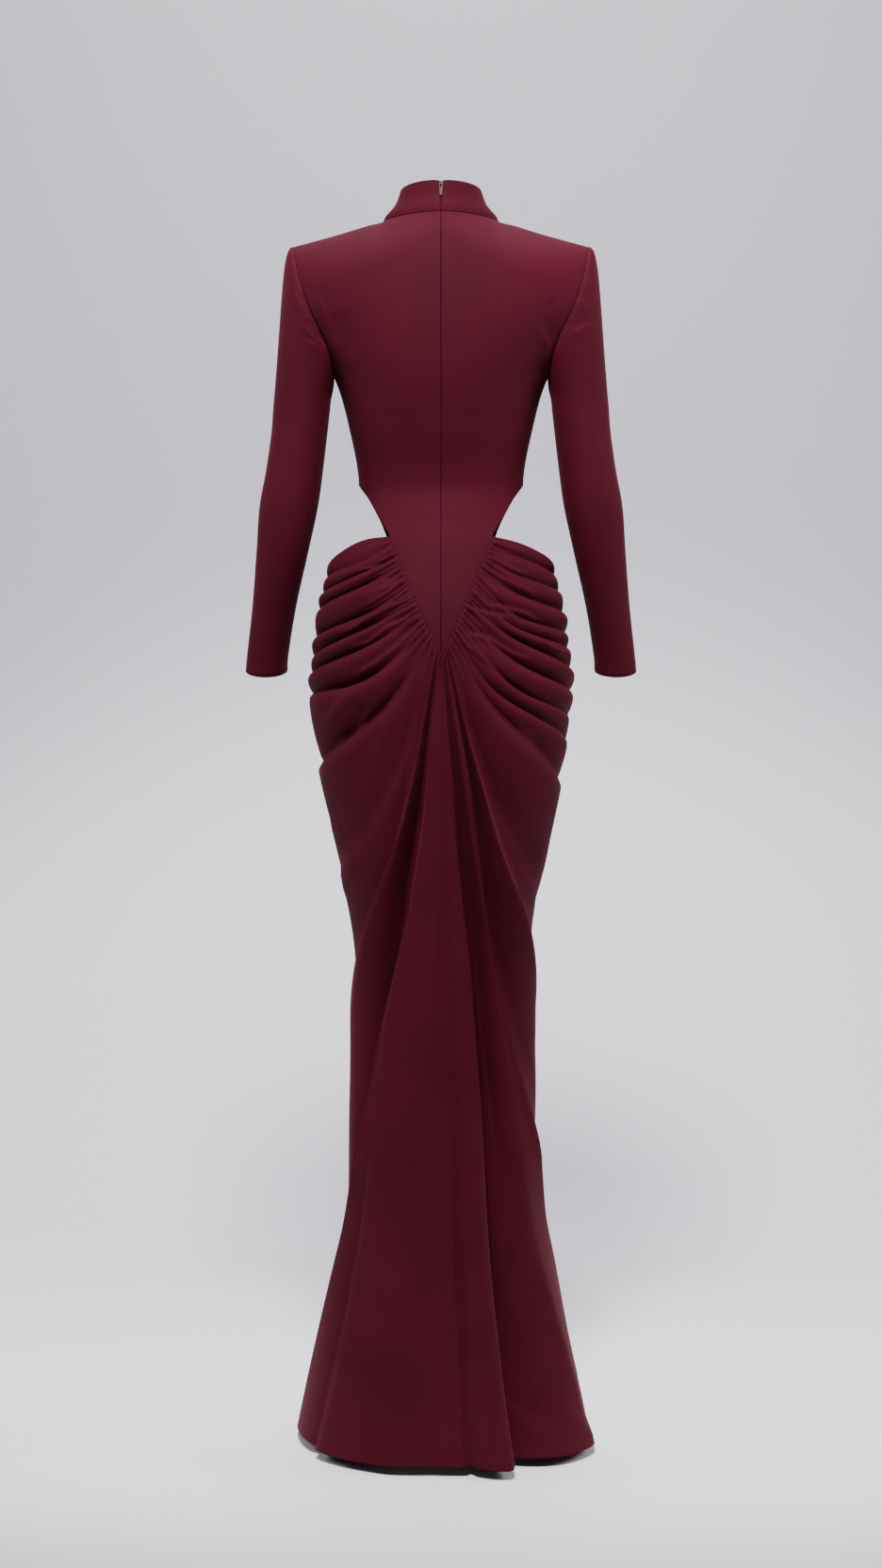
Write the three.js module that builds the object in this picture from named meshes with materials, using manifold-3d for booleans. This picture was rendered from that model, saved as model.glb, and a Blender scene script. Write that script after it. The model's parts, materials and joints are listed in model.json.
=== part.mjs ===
// A floor-length dress that keeps its hollow, worn form: stand collar with a concealed back zip,
// long set-in sleeves, a back bodice that runs down to a point, side cut-outs, and a back skirt
// gathered into that point.
// Millimetres, +Z up. The front of the dress faces -Y, and its left side, as worn, is +X.
// The origin lies midway between the two shoulder points, where the shoulders carry the dress.
import * as THREE from "three";
import { mergeVertices } from "three/addons/utils/BufferGeometryUtils.js";
import Module from "manifold-3d";

const solids = await Module();
solids.setup();

// Driving sizes
const SHOULDER_HALF = 184; // from the centre to the armhole seam at the shoulder point
const UNDERARM_Z = -165;
const WAIST_Z = -298.5; // the top of the side cut-outs
const CUTOUT_FOOT_Z = -363.5; // where the skirt's free top edge meets the pointed back panel
const CUTOUT_FOOT_HALF = 63.5;
const POINT_Z = -515; // the tip of the pointed back panel
const HEM_Z = -1502;
const FRONT_FOOT_Z = -392; // where the front skirt meets the front panel, beside its dip
const FRONT_FOOT_HALF = 62;
const FRONT_DIP = 8; // how much lower that seam is at the centre
const SIDE_TOP_Z = -392; // the skirt's free top edge at its side seams
const NECK_HALF = 72; // half the width of the neck seam
const BODICE_WALL = 1.6;
const SLEEVE_WALL = 1.5;
const SKIRT_WALL = 1.3;
const COLLAR_WALL = 2.4; // two plies of the same cloth
const SEAM_GAP = 0.3;
const ZIP_HALF_GAP = 0.45; // half the gap that the concealed zip leaves down the centre back
const SIDE_SEAM_TURN = 115; // degrees from the centre back to the skirt's forward side seam
const SIDE_LIFT = 1; // how far the skirt stands off the form at its side seams
const GATHER_LIFT = 0.6; // how far the creases stand off at the pointed seam
const GATHER_HEIGHT = 2.3; // how far each gather stands above its creases there

const TINY = 0.01;
const rad = THREE.MathUtils.degToRad;
const lerp = THREE.MathUtils.lerp;
const smoothstep = THREE.MathUtils.smoothstep;

// Rows of numbers under named columns, read by height or distance with a smooth curve between rows.
function table(columns, rows) {
  return columns.reduce((made, name, i) => ({ ...made, [name]: rows.map((row) => row[i]) }), {});
}

function slopeAt(xs, ys, i) {
  const a = Math.max(i - 1, 0);
  const b = Math.min(i + 1, xs.length - 1);
  return (ys[b] - ys[a]) / (xs[b] - xs[a]);
}

function smooth(xs, ys, x) {
  const down = xs[0] > xs[xs.length - 1];
  let i = 0;
  while (i < xs.length - 2 && (down ? x < xs[i + 1] : x > xs[i + 1])) i += 1;
  const span = xs[i + 1] - xs[i];
  const t = THREE.MathUtils.clamp((x - xs[i]) / span, 0, 1);
  const t2 = t * t;
  const t3 = t2 * t;
  return (
    ys[i] * (2 * t3 - 3 * t2 + 1) +
    ys[i + 1] * (3 * t2 - 2 * t3) +
    span * (slopeAt(xs, ys, i) * (t3 - 2 * t2 + t) + slopeAt(xs, ys, i + 1) * (t3 - t2))
  );
}

// The form that the cloth follows: half width, depth behind and in front, how square the section is,
// and how far the skirt's middle lies towards +X.
const FORM = table(
  ["z", "half", "back", "front", "power", "lean"],
  [
    [80, 205, 44, 46, 2.2, 0],
    [0, 200, 80, 74, 2.2, 0],
    [-40, 199, 92, 88, 2.2, 0],
    [-81, 190, 99, 98, 2.2, 0],
    [-120, 163, 101, 105, 2.2, 0],
    [-165, 134, 97, 108, 2.2, 0],
    [-230, 115, 79, 98, 2.2, 0],
    [-298.5, 103.8, 62, 80, 2.2, 0],
    [-341, 113, 72, 82, 2.2, 0],
    [-371, 128, 85, 86, 2.2, 0],
    [-419, 145, 102, 92, 2.2, 0],
    [-457, 153, 113, 95, 2.2, 0],
    [-517, 161, 121, 97, 2.2, 0],
    [-561, 163, 121, 98, 2.2, 0],
    [-606, 159, 118, 99, 2.2, 0],
    [-666, 148, 113, 99, 2.2, -1],
    [-762, 131, 106, 96, 2.2, -2],
    [-881, 112.5, 102, 89, 2.2, -3.4],
    [-1000, 114, 105, 86, 2.2, -4.4],
    [-1060, 118, 108, 87, 2.2, -5.6],
    [-1120, 121, 113, 89, 2.3, -5.2],
    [-1215, 123, 122, 95, 2.3, -3],
    [-1287, 136, 132, 101, 2.4, -2.8],
    [-1358, 151, 144, 108, 2.5, -2.8],
    [-1430, 167, 157, 116, 2.6, -2.4],
    [-1502, 183.5, 172, 124, 2.6, -2.4],
  ],
);

// The shoulder line seen from behind. Inside the neck it is only the imagined line under the collar.
const SHOULDER = table(
  ["x", "z"],
  [
    [0, 72],
    [40, 50],
    [72, 31],
    [91, 26],
    [131, 14],
    [184, 0],
  ],
);

// The bodice's outer edge seen from behind: armhole, side seam, then the cut-out and the point.
const ARMHOLE = table(
  ["z", "x"],
  [
    [0, 184],
    [-35, 178],
    [-81, 163],
    [-117, 146],
    [-140, 138],
    [-165, 134],
  ],
);
const BACK_CUTOUT = table(
  ["z", "x"],
  [
    [-298.5, 103.8],
    [-308, 96],
    [-322, 87.5],
    [-343, 75],
    [-363.5, 63.5],
  ],
);
const FRONT_CUTOUT = table(
  ["z", "x"],
  [
    [-298.5, 103.8],
    [-316, 91],
    [-345, 75],
    [-370, 66],
    [-392, 62],
  ],
);

const SHOULDER_ROUND = 62; // how far below the shoulder line the body reaches its full depth
const BUST = { x: 76, z: -178, height: 15, across: 44, down: 48 };

const formAt = (name, z) => smooth(FORM.z, FORM[name], z);

// The share of full depth at a place that far below the shoulder line: a quarter circle.
function roundOff(below) {
  const t = THREE.MathUtils.clamp(1 - below / SHOULDER_ROUND, 0, 1);
  return Math.sqrt(1 - t * t);
}

function bustAt(x, z) {
  const across = (Math.abs(x) - BUST.x) / BUST.across;
  const down = (z - BUST.z) / BUST.down;
  return BUST.height * Math.exp(-across * across - down * down);
}

// The bodice surface at a place seen from behind. Side is 1 for the back and -1 for the front.
function bodicePoint(x, z, side) {
  const power = formAt("power", z);
  const half = formAt("half", z);
  const share = Math.max(0, 1 - Math.pow(Math.min(Math.abs(x) / half, 1), power));
  const below = smooth(SHOULDER.x, SHOULDER.z, Math.abs(x)) - z;
  const depth = formAt(side > 0 ? "back" : "front", z) * Math.pow(share, 1 / power);
  const bust = side < 0 ? bustAt(x, z) * Math.sqrt(share) : 0;
  return new THREE.Vector3(x, side * (depth + bust) * roundOff(below), z);
}

// Turns an outer grid of points, rows of columns, into a closed wall. The inside lies under the outside.
// Facing is 1 where rows cross columns to point outwards, and -1 otherwise.
// Fix may replace the direction of a point on a seam, so that both panels there share it.
function wall(grid, thickness, { facing = 1, round = false, fix = () => null } = {}) {
  const rows = grid.length;
  const columns = grid[0].length;
  const at = (r, c) => grid[r][round ? (c + columns) % columns : THREE.MathUtils.clamp(c, 0, columns - 1)];
  const clampRow = (r) => THREE.MathUtils.clamp(r, 0, rows - 1);
  const normalAt = (r, c) => {
    const along = at(r, c + 1).clone().sub(at(r, c - 1));
    const down = at(clampRow(r + 1), c).clone().sub(at(clampRow(r - 1), c));
    return along.cross(down).multiplyScalar(facing).normalize();
  };
  const outer = [];
  const inner = [];
  for (let r = 0; r < rows; r += 1) {
    for (let c = 0; c < columns; c += 1) {
      const normal = fix(r, c, normalAt(r, c)) ?? normalAt(r, c);
      outer.push(at(r, c));
      inner.push(at(r, c).clone().addScaledVector(normal, -thickness));
    }
  }
  const points = [...outer, ...inner];
  const offset = outer.length;
  const faces = [];
  const quad = (a, b, c, d) => faces.push(a, b, c, a, c, d);
  const index = (r, c) => r * columns + ((c + columns) % columns);
  const last = round ? columns : columns - 1;
  for (let r = 0; r < rows - 1; r += 1) {
    for (let c = 0; c < last; c += 1) {
      const [a, b, d, e] = [index(r, c), index(r + 1, c), index(r + 1, c + 1), index(r, c + 1)];
      quad(a, b, d, e);
      quad(offset + a, offset + e, offset + d, offset + b);
    }
  }
  for (let c = 0; c < last; c += 1) {
    const [a, b] = [index(0, c), index(0, c + 1)];
    const [d, e] = [index(rows - 1, c), index(rows - 1, c + 1)];
    quad(a, b, offset + b, offset + a);
    quad(e, d, offset + d, offset + e);
  }
  for (let r = 0; r < rows - 1 && !round; r += 1) {
    const [a, b] = [index(r, 0), index(r + 1, 0)];
    const [d, e] = [index(r, columns - 1), index(r + 1, columns - 1)];
    quad(b, a, offset + a, offset + b);
    quad(d, e, offset + e, offset + d);
  }
  if (facing > 0) faces.reverse();
  const geometry = new THREE.BufferGeometry().setFromPoints(points);
  return geometry.setIndex(faces);
}

const CLOTH = { color: 0x6b1f33, roughness: 0.78, metalness: 0 };
const METAL = { color: 0x6d5c60, roughness: 0.35, metalness: 0.9 };

function piece(name, geometry, look) {
  const made = new THREE.Mesh(geometry, new THREE.MeshStandardMaterial(look));
  made.name = name;
  return made;
}

// Bodice
const NECK_STEPS = 4; // columns between the centre and the side of the neck
const EDGE_SHARES = [
  ...Array.from({ length: NECK_STEPS + 1 }, (_, i) => {
    return (NECK_HALF / SHOULDER_HALF) * Math.sin((Math.PI / 2) * (i / NECK_STEPS));
  }),
  ...[0.5, 0.62, 0.74, 0.85, 0.93, 0.98, 1],
];
const UPPER_LEVELS = [0, -2.1, -8.3, -18, -31, -46, -64, -86, -112, -136, -152, -161, -165];
const BACK_LEVELS = [...UPPER_LEVELS, -198, -232, -266, -298.5, -318, -343, -363.5, -395, -427, -459, -490];
const FRONT_LEVELS = [...UPPER_LEVELS, -185, -207, -235, -266, -298.5, -318, -343, -370, -392];
const UPPER_FOOT_Z = -140; // below this, rows of the bodice are level
const POINT_END = { z: POINT_Z + 1.4, x: 1.1 }; // the last row of each half, just above the tip

function outerEdge(z, side) {
  if (z >= UNDERARM_Z) return smooth(ARMHOLE.z, ARMHOLE.x, z);
  if (z >= WAIST_Z) return formAt("half", z);
  if (side < 0) return smooth(FRONT_CUTOUT.z, FRONT_CUTOUT.x, z);
  if (z >= CUTOUT_FOOT_Z) return smooth(BACK_CUTOUT.z, BACK_CUTOUT.x, z);
  return lerp(CUTOUT_FOOT_HALF, POINT_END.x, (CUTOUT_FOOT_Z - z) / (CUTOUT_FOOT_Z - POINT_END.z));
}

const NECK_BACK_RISE = 6; // how much higher the neck seam is at the centre back than at its sides
const NECK_FRONT_DROP = 24; // how much lower it is at the centre front

function neckSeamZ(x, side) {
  const share = Math.min(Math.abs(x) / NECK_HALF, 1);
  const bow = 1 - share * share;
  return smooth(SHOULDER.x, SHOULDER.z, NECK_HALF) + bow * (side > 0 ? NECK_BACK_RISE : -NECK_FRONT_DROP);
}

function bodiceTop(x, side) {
  return Math.abs(x) < NECK_HALF - TINY ? neckSeamZ(x, side) : smooth(SHOULDER.x, SHOULDER.z, Math.abs(x));
}

// One row of a bodice panel, from the centre outwards. The upper rows bend to meet the neck and shoulders.
function bodiceRow(level, side, sign) {
  const edge = outerEdge(level, side) - SEAM_GAP;
  return EDGE_SHARES.map((share) => {
    const x = lerp(side > 0 ? ZIP_HALF_GAP : 0, edge, share);
    const lift = bodiceTop(SHOULDER_HALF * share, side) * smoothstep(level, UPPER_FOOT_Z, 0);
    const lower = smoothstep(WAIST_Z - level, 0, WAIST_Z - FRONT_FOOT_Z);
    const dip = side < 0 ? FRONT_DIP * (1 - share * share) * lower : 0;
    const point = bodicePoint(x, level + lift - dip, side);
    point.y = side * Math.max(Math.abs(point.y), SEAM_GAP / 2);
    point.x *= sign;
    return point;
  });
}

// The direction outwards where a bodice panel meets its neighbour, so that their walls line up.
function bodiceFix(levels) {
  return (row, column, columns, normal) => {
    const edge = column === columns - 1 ? 1 : 0;
    const share = EDGE_SHARES[column] ?? 1;
    if (row === 0 && share * SHOULDER_HALF >= NECK_HALF - TINY) return new THREE.Vector3(0, 0, 1);
    if (edge && levels[row] <= UNDERARM_Z && levels[row] >= WAIST_Z) return new THREE.Vector3(1, 0, 0);
    if (column === 0) return new THREE.Vector3(0, normal.y, normal.z).normalize();
    return null;
  };
}

function backHalf(sign) {
  const levels = [...BACK_LEVELS, POINT_END.z];
  const grid = levels.map((level) => bodiceRow(level, 1, sign));
  const rule = bodiceFix(levels);
  return wall(grid, BODICE_WALL, {
    facing: sign > 0 ? 1 : -1,
    fix: (r, c, normal) => {
      const fixed = rule(r, c, EDGE_SHARES.length, normal);
      if (fixed) fixed.x *= sign;
      return fixed;
    },
  });
}

function frontPanel() {
  const grid = FRONT_LEVELS.map((level) => {
    const left = bodiceRow(level, -1, 1);
    const right = bodiceRow(level, -1, -1).slice(1).reverse();
    return [...right, ...left];
  });
  const middle = EDGE_SHARES.length - 1;
  const rule = bodiceFix(FRONT_LEVELS);
  return wall(grid, BODICE_WALL, {
    facing: -1,
    fix: (r, c, normal) => {
      const fixed = rule(r, Math.abs(c - middle), EDGE_SHARES.length, normal);
      if (fixed) fixed.x *= Math.sign(c - middle) || 1;
      return fixed;
    },
  });
}

// Collar: a band from the neck seam up to a tilted top edge, open at the centre back.
const COLLAR_TOP = { half: 51, depth: 52, y: -6, z: 68, tilt: 9 };
const COLLAR_RISE = table(
  ["up", "inward"],
  [
    [0, 0],
    [0.17, 0.12],
    [0.35, 0.42],
    [0.52, 0.66],
    [0.76, 0.86],
    [1, 1],
  ],
);
const COLLAR_CORNER = 1.6; // how far the corners either side of the zip are rounded down

// The neck seam from the centre back round to the centre back, by way of +X, with two steps
// to each column of the panels below, so that the collar stands on their straight edges.
function neckRing() {
  const neck = (side, sign) => bodiceRow(0, side, sign).slice(0, NECK_STEPS + 1);
  const posts = [
    ...neck(1, 1),
    ...neck(-1, 1).slice(0, NECK_STEPS).reverse(),
    ...neck(-1, -1).slice(1, NECK_STEPS),
    ...neck(1, -1).reverse(),
  ];
  const between = (post, i) => (i === 0 ? [post] : [posts[i - 1].clone().lerp(post, 0.5), post]);
  return posts.flatMap(between);
}

const NECK_RING = neckRing();

function collarPoint(i, up) {
  const turn = (2 * Math.PI * i) / (NECK_RING.length - 1);
  const base = NECK_RING[i];
  const gap = ZIP_HALF_GAP * Math.cos(turn / 2);
  const top = new THREE.Vector3(
    COLLAR_TOP.half * Math.sin(turn) + gap,
    COLLAR_TOP.y + COLLAR_TOP.depth * Math.cos(turn),
    COLLAR_TOP.z + COLLAR_TOP.tilt * Math.cos(turn),
  );
  const z = lerp(base.z + 2 * SEAM_GAP, top.z, up);
  return base.clone().lerp(top, smooth(COLLAR_RISE.up, COLLAR_RISE.inward, up)).setZ(z);
}

function collar() {
  const grid = COLLAR_RISE.up.map((up) => NECK_RING.map((_, i) => collarPoint(i, up)));
  const top = grid[grid.length - 1];
  top[0].z -= COLLAR_CORNER;
  top[top.length - 1].z -= COLLAR_CORNER;
  return wall(grid, COLLAR_WALL, {
    facing: -1,
    fix: (r, c, normal) => {
      const atZip = c === 0 || c === NECK_RING.length - 1;
      const [x, z] = [atZip ? 0 : normal.x, r === 0 ? 0 : normal.z];
      return new THREE.Vector3(x, normal.y, z).normalize();
    },
  });
}

// Sleeves: from the armhole over the shoulder head, then down the arm table to the cuff.
const ARM = table(
  ["z", "x", "y", "half", "depth", "tilt"],
  [
    [-200, 175, 3, 36, 47, 0],
    [-232, 178, 5, 35.4, 45, 0],
    [-278, 184, 7, 36, 43, 3],
    [-324, 191.5, 7, 37, 41.5, 8],
    [-380, 200, 0, 33, 37, 13],
    [-451, 212, -20, 28, 32, 16],
    [-515, 222, -41, 26.6, 28.5, 17],
    [-532, 223.5, -46, 27, 28.5, 17],
  ],
);
const ARM_LEVELS = [-200, -232, -262, -292, -322, -352, -385, -420, -460, -497, -532];
const HEAD_STEPS = [0, 0.08, 0.18, 0.32, 0.5, 0.75];
const SLEEVE_SIDES = 22;
const HEAD = { out: 8, outTop: 8, back: 4, up: 9, down: -7, hang: 12, hangTop: 128, tuck: 13 };

function armPoint(turn, z) {
  const tilt = rad(smooth(ARM.z, ARM.tilt, z));
  const depth = smooth(ARM.z, ARM.depth, z) * Math.sin(turn);
  return new THREE.Vector3(
    smooth(ARM.z, ARM.x, z) + smooth(ARM.z, ARM.half, z) * Math.cos(turn),
    smooth(ARM.z, ARM.y, z) + depth * Math.cos(tilt),
    z - depth * Math.sin(tilt),
  );
}

function armholePoint(turn) {
  const z = (UNDERARM_Z / 2) * (1 - Math.cos(turn));
  const x = smooth(ARMHOLE.z, ARMHOLE.x, z);
  return bodicePoint(x, z, Math.sin(turn) >= 0 ? 1 : -1).setX(x + SEAM_GAP);
}

function sleeveHeadPoint(turn, step) {
  const c = Math.cos(turn);
  const start = armholePoint(turn);
  const end = armPoint(turn, ARM.z[0]);
  const [out, back, up] = [HEAD.out + HEAD.outTop * c, HEAD.back * Math.sin(turn), HEAD.down + HEAD.up * c];
  const leave = new THREE.Vector3(out, back, up);
  const hang = HEAD.hang + (HEAD.hangTop * (1 + c)) / 2;
  const arrive = new THREE.Vector3(-HEAD.tuck * Math.max(c, 0), 0, hang);
  const curve = new THREE.CubicBezierCurve3(start, start.clone().add(leave), end.clone().add(arrive), end);
  return curve.getPoint(step);
}

function sleeve(sign) {
  const ring = (pointAt) =>
    Array.from({ length: SLEEVE_SIDES }, (_, i) => {
      const point = pointAt((2 * Math.PI * i) / SLEEVE_SIDES);
      point.x *= sign;
      return point;
    });
  const grid = [
    ...HEAD_STEPS.map((step) => ring((turn) => sleeveHeadPoint(turn, step))),
    ...ARM_LEVELS.map((level) => ring((turn) => armPoint(turn, level))),
  ];
  return wall(grid, SLEEVE_WALL, { facing: sign > 0 ? -1 : 1, round: true });
}

// Skirt: the place that many degrees from the centre back on the form, and the level direction off it.
function formPlace(turn, z) {
  const power = formAt("power", z);
  const half = formAt("half", z);
  const [s, c] = [Math.sin(rad(turn)), Math.cos(rad(turn))];
  const depth = formAt(c >= 0 ? "back" : "front", z);
  const size = Math.pow(Math.abs(s) / half, power) + Math.pow(Math.abs(c) / depth, power);
  const reach = Math.pow(size, -1 / power);
  const slope = (value, most) => (Math.sign(value) * Math.pow(Math.abs(value) / most, power - 1)) / most;
  return {
    point: new THREE.Vector3(reach * s + formAt("lean", z), reach * c, z),
    outward: new THREE.Vector3(slope(reach * s, half), slope(reach * c, depth), 0).normalize(),
  };
}

function skirtPoint(turn, z, lift) {
  const { point, outward } = formPlace(turn, z);
  return point.addScaledVector(outward, lift);
}

// How many degrees from the centre back a place seen from behind lies.
function turnOf(x, z) {
  const power = formAt("power", z);
  const across = x - formAt("lean", z);
  const share = Math.min(Math.abs(across) / formAt("half", z), 1);
  const y = formAt("back", z) * Math.pow(1 - Math.pow(share, power), 1 / power);
  return THREE.MathUtils.radToDeg(Math.atan2(across, y));
}

// The fold lines of the back skirt, from the free top edge at +X, down to the centre, and up
// to the top edge on the right. Each leaves the pointed seam at a share of its length, passes two places seen
// from behind, and ends on the side seam at a height or on the hem at a distance from the centre.
// Lift is the line's height off the form at those three places, and bulge that of the cloth up to
// the next line.
const TO_SIDE = 0;
const TO_HEM = 1;
const FOLDS = table(
  ["seam", "x1", "z1", "x2", "z2", "goes", "end", "lift1", "lift2", "lift3", "bulge1", "bulge2", "bulge3"],
  [
    [0, 97, -368, 139, -394, TO_SIDE, -392, 1, 2, 1, 4, 4, 0],
    [0.08, 94, -394, 144, -415, TO_SIDE, -420, 1, 0, 1, 6, 4, 0],
    [0.16, 84, -403, 146, -431, TO_SIDE, -437, 1, 0, 1, 7, 7, 0],
    [0.23, 102, -427, 152, -454, TO_SIDE, -461, 1, 0, 1, 10, 6, 0],
    [0.39, 93, -459, 158, -491, TO_SIDE, -500, 0, -1, 1, 9, 7, 0],
    [0.52, 100, -480, 161, -516, TO_SIDE, -524, 0, -1, 1, 10, 5, 0],
    [0.62, 100, -503, 164, -537, TO_SIDE, -545, 0, 0, 1, 11, 7, 0],
    [0.73, 96, -541, 163, -560, TO_SIDE, -568, 0, 0, 1, 15, 4, 0],
    [0.82, 78, -582, 150, -641, TO_SIDE, -655, 0, -1, 1, 12, 9, 0],
    [0.86, 49, -640, 104, -745, TO_SIDE, -800, 4, 2, 1, 4, 3, 0],
    [0.9, 38, -661, 76, -801, TO_SIDE, -975, 3, 0, 1, 0, 0, 0],
    [0.925, 39, -690, 76, -813, TO_SIDE, -1080, 13, 15, 1, 0, 0, 0],
    [0.945, 29, -700, 66, -884, TO_SIDE, HEM_Z, -12, -16, 1, 0, -2, 0],
    [0.962, 22, -731, 66, -978, TO_HEM, 186, 11, 18, 4, 0, 0, 0],
    [0.976, 20, -731, 62, -982, TO_HEM, 165, 12, 21, -10, 0, 1, 9],
    [0.988, 11, -755, 30, -966, TO_HEM, 72, 13, 22, 8, 0, 0, 1],
    [1, 0, -755, 8, -966, TO_HEM, 14, 12, 19, 6, 0, 0, 0],
    [0.99, -5, -755, -13, -990, TO_HEM, -36, 11, 16, 9, 1, 4, 24],
    [0.98, -16, -720, -34, -931, TO_HEM, -88, 14, 26, 9, -3, -8, -2],
    [0.968, -23, -735, -43, -940, TO_HEM, -95, -14, -22, -14, 0, 0, -3],
    [0.957, -29, -720, -53, -960, TO_HEM, -138, -6, -10, 5, 1, 3, 4],
    [0.946, -33, -706, -66, -960, TO_HEM, -180, 9, 15, 14, 0, 0, 0],
    [0.935, -37, -700, -71, -955, TO_SIDE, HEM_Z, 10, 16, 1, -1, -2, 0],
    [0.92, -44, -690, -72, -850, TO_SIDE, -1180, -10, -12, 1, 0, 0, 0],
    [0.9, -51, -680, -86, -800, TO_SIDE, -1030, 11, 13, 1, -2, -3, 0],
    [0.87, -60, -668, -104, -765, TO_SIDE, -850, -4, -4, 1, 12, 11, 0],
    [0.83, -73, -582, -148, -664, TO_SIDE, -675, 1, -1, 1, 7, 4, 0],
    [0.77, -70, -556, -160, -622, TO_SIDE, -632, 0, 1, 1, 8, 3, 0],
    [0.7, -97, -553, -163, -589, TO_SIDE, -597, 1, -1, 1, 11, 6, 0],
    [0.61, -97, -521, -165, -559, TO_SIDE, -566, 0, -1, 1, 9, 8, 0],
    [0.52, -97, -493, -164, -531, TO_SIDE, -538, 0, 0, 1, 10, 5, 0],
    [0.43, -97, -478, -161, -503, TO_SIDE, -511, 0, 0, 1, 6, 5, 0],
    [0.34, -97, -463, -158, -484, TO_SIDE, -492, 0, 0, 1, 9, 7, 0],
    [0.25, -97, -436, -153, -458, TO_SIDE, -466, 0, 0, 1, 8, 5, 0],
    [0.17, -97, -413, -147, -430, TO_SIDE, -437, 1, 0, 1, 7, 4, 0],
    [0.08, -97, -390, -143, -412, TO_SIDE, -416, 1, 0, 1, 6, 4, 0],
    [0, -97, -371, -139, -393, TO_SIDE, -392, 1, 2, 1, 0, 0, 0],
  ],
);
const MIDDLE = FOLDS.seam.indexOf(1); // the fold line that leaves the tip of the point
const MM_PER_DEGREE = 2.2; // round the skirt, for measuring along a fold
const RIDGE_RUN = 4; // how quickly the cloth rises below a line
const RIDGE_AT = 3.5; // how far below its line a ridge has its column of points
const RIDGE_MOST = 1 / 3; // or that share of the way to the next line, where they are close
const POCKET = { share: 0.3, above: 6, below: 2 }; // the dip at a line, of the bulge, and how far it runs
const SEAM_CLEAR = 0.9; // the skirt's edge below the tip of the point
const SEAM_ROOM = SEAM_GAP + 0.1; // and beside the pointed panel

function seamPlace(share, sign) {
  const z = lerp(CUTOUT_FOOT_Z, POINT_Z - SEAM_CLEAR, share);
  return { turn: turnOf(sign * (lerp(CUTOUT_FOOT_HALF, 0, share) + SEAM_ROOM), z), z };
}

// One fold line as curves of turn and height along it, from 0 at the pointed seam to 1 at its end.
function foldLine(i) {
  const sign = i <= MIDDLE ? 1 : -1;
  const start = seamPlace(FOLDS.seam[i], FOLDS.seam[i] === 1 ? 0 : sign);
  const sided = FOLDS.goes[i] === TO_SIDE;
  const turns = [
    FOLDS.seam[i] === 1 ? 0 : start.turn,
    turnOf(FOLDS.x1[i], FOLDS.z1[i]),
    turnOf(FOLDS.x2[i], FOLDS.z2[i]),
    sided ? sign * SIDE_SEAM_TURN : turnOf(FOLDS.end[i], HEM_Z),
  ];
  const heights = [start.z, FOLDS.z1[i], FOLDS.z2[i], sided ? FOLDS.end[i] : HEM_Z];
  const knots = [0];
  for (let k = 1; k < 4; k += 1) {
    const reach = Math.hypot((turns[k] - turns[k - 1]) * MM_PER_DEGREE, heights[k] - heights[k - 1]);
    knots.push(knots[k - 1] + reach);
  }
  const along = knots.map((knot) => knot / knots[3]);
  const read = (a, b) => [a, ...[1, 2, 3].map((k) => FOLDS[b + k][i])];
  return {
    along,
    turns,
    heights,
    lifts: read(GATHER_LIFT, "lift"),
    bulges: read(0, "bulge"),
  };
}

const LINES = FOLDS.seam.map((_, i) => foldLine(i));

// The share of its bulge at which the cloth stands, a share of the way down between two fold lines
// that far apart: a dip at each line, a ridge just below the upper one, then a slow fall.
function foldShape(below, apart) {
  const ridge = (1 - Math.exp((-below * apart) / RIDGE_RUN)) * Math.cos((Math.PI / 2) * below);
  const dips = Math.exp((-below * apart) / POCKET.below) + Math.exp(((below - 1) * apart) / POCKET.above);
  return ridge - POCKET.share * dips;
}

const readLine = (line, name, v) => smooth(line.along, line[name], v);

// How far apart two fold lines lie on the form, square to the first.
function spaceBetween(a, b, v) {
  const onForm = (line, at) => skirtPoint(readLine(line, "turns", at), readLine(line, "heights", at), 0);
  const heading = onForm(a, Math.min(v + TINY, 1)).sub(onForm(a, Math.max(v - TINY, 0))).normalize();
  return onForm(b, v).sub(onForm(a, v)).cross(heading).length();
}

// The back skirt in a fold between a line and the next, at one of three places there, and at a share
// of the way along them. The first place is the line itself, and one of the others is on the ridge.
function foldedPoint(i, place, v) {
  const a = LINES[i];
  const b = LINES[Math.min(i + 1, LINES.length - 1)];
  const [turns, heights, lifts] = ["turns", "heights", "lifts"].map((name) => {
    return [readLine(a, name, v), readLine(b, name, v)];
  });
  const apart = spaceBetween(a, b, v);
  const ridge = Math.min(RIDGE_AT / apart, RIDGE_MOST);
  const face = (1 + ridge) / 2;
  const below = (i < MIDDLE ? [0, ridge, face] : [1, face, ridge])[place];
  const between = i < MIDDLE ? below : 1 - below;
  const gather = GATHER_HEIGHT * (1 - smoothstep(v, 0, a.along[1])) * Math.sin(Math.PI * between);
  const bulge = readLine(a, "bulges", v) * foldShape(below, apart);
  const lift = lerp(...lifts, smoothstep(between, 0, 1)) + gather + bulge;
  return skirtPoint(lerp(...turns, between), lerp(...heights, between), lift);
}

const ALONG_STEPS = [0, 0.03, 0.07, 0.13, 0.2, 0.28, 0.37, 0.46, 0.55, 0.64, 0.73, 0.81, 0.88, 0.94, 1];
const PLACES = [0, 1, 2];
// Where columns crowd, the wall's inside lies straight in from its outside, so that it can't cross itself.
const CROWDED = { below: 6, above: 24 };

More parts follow.
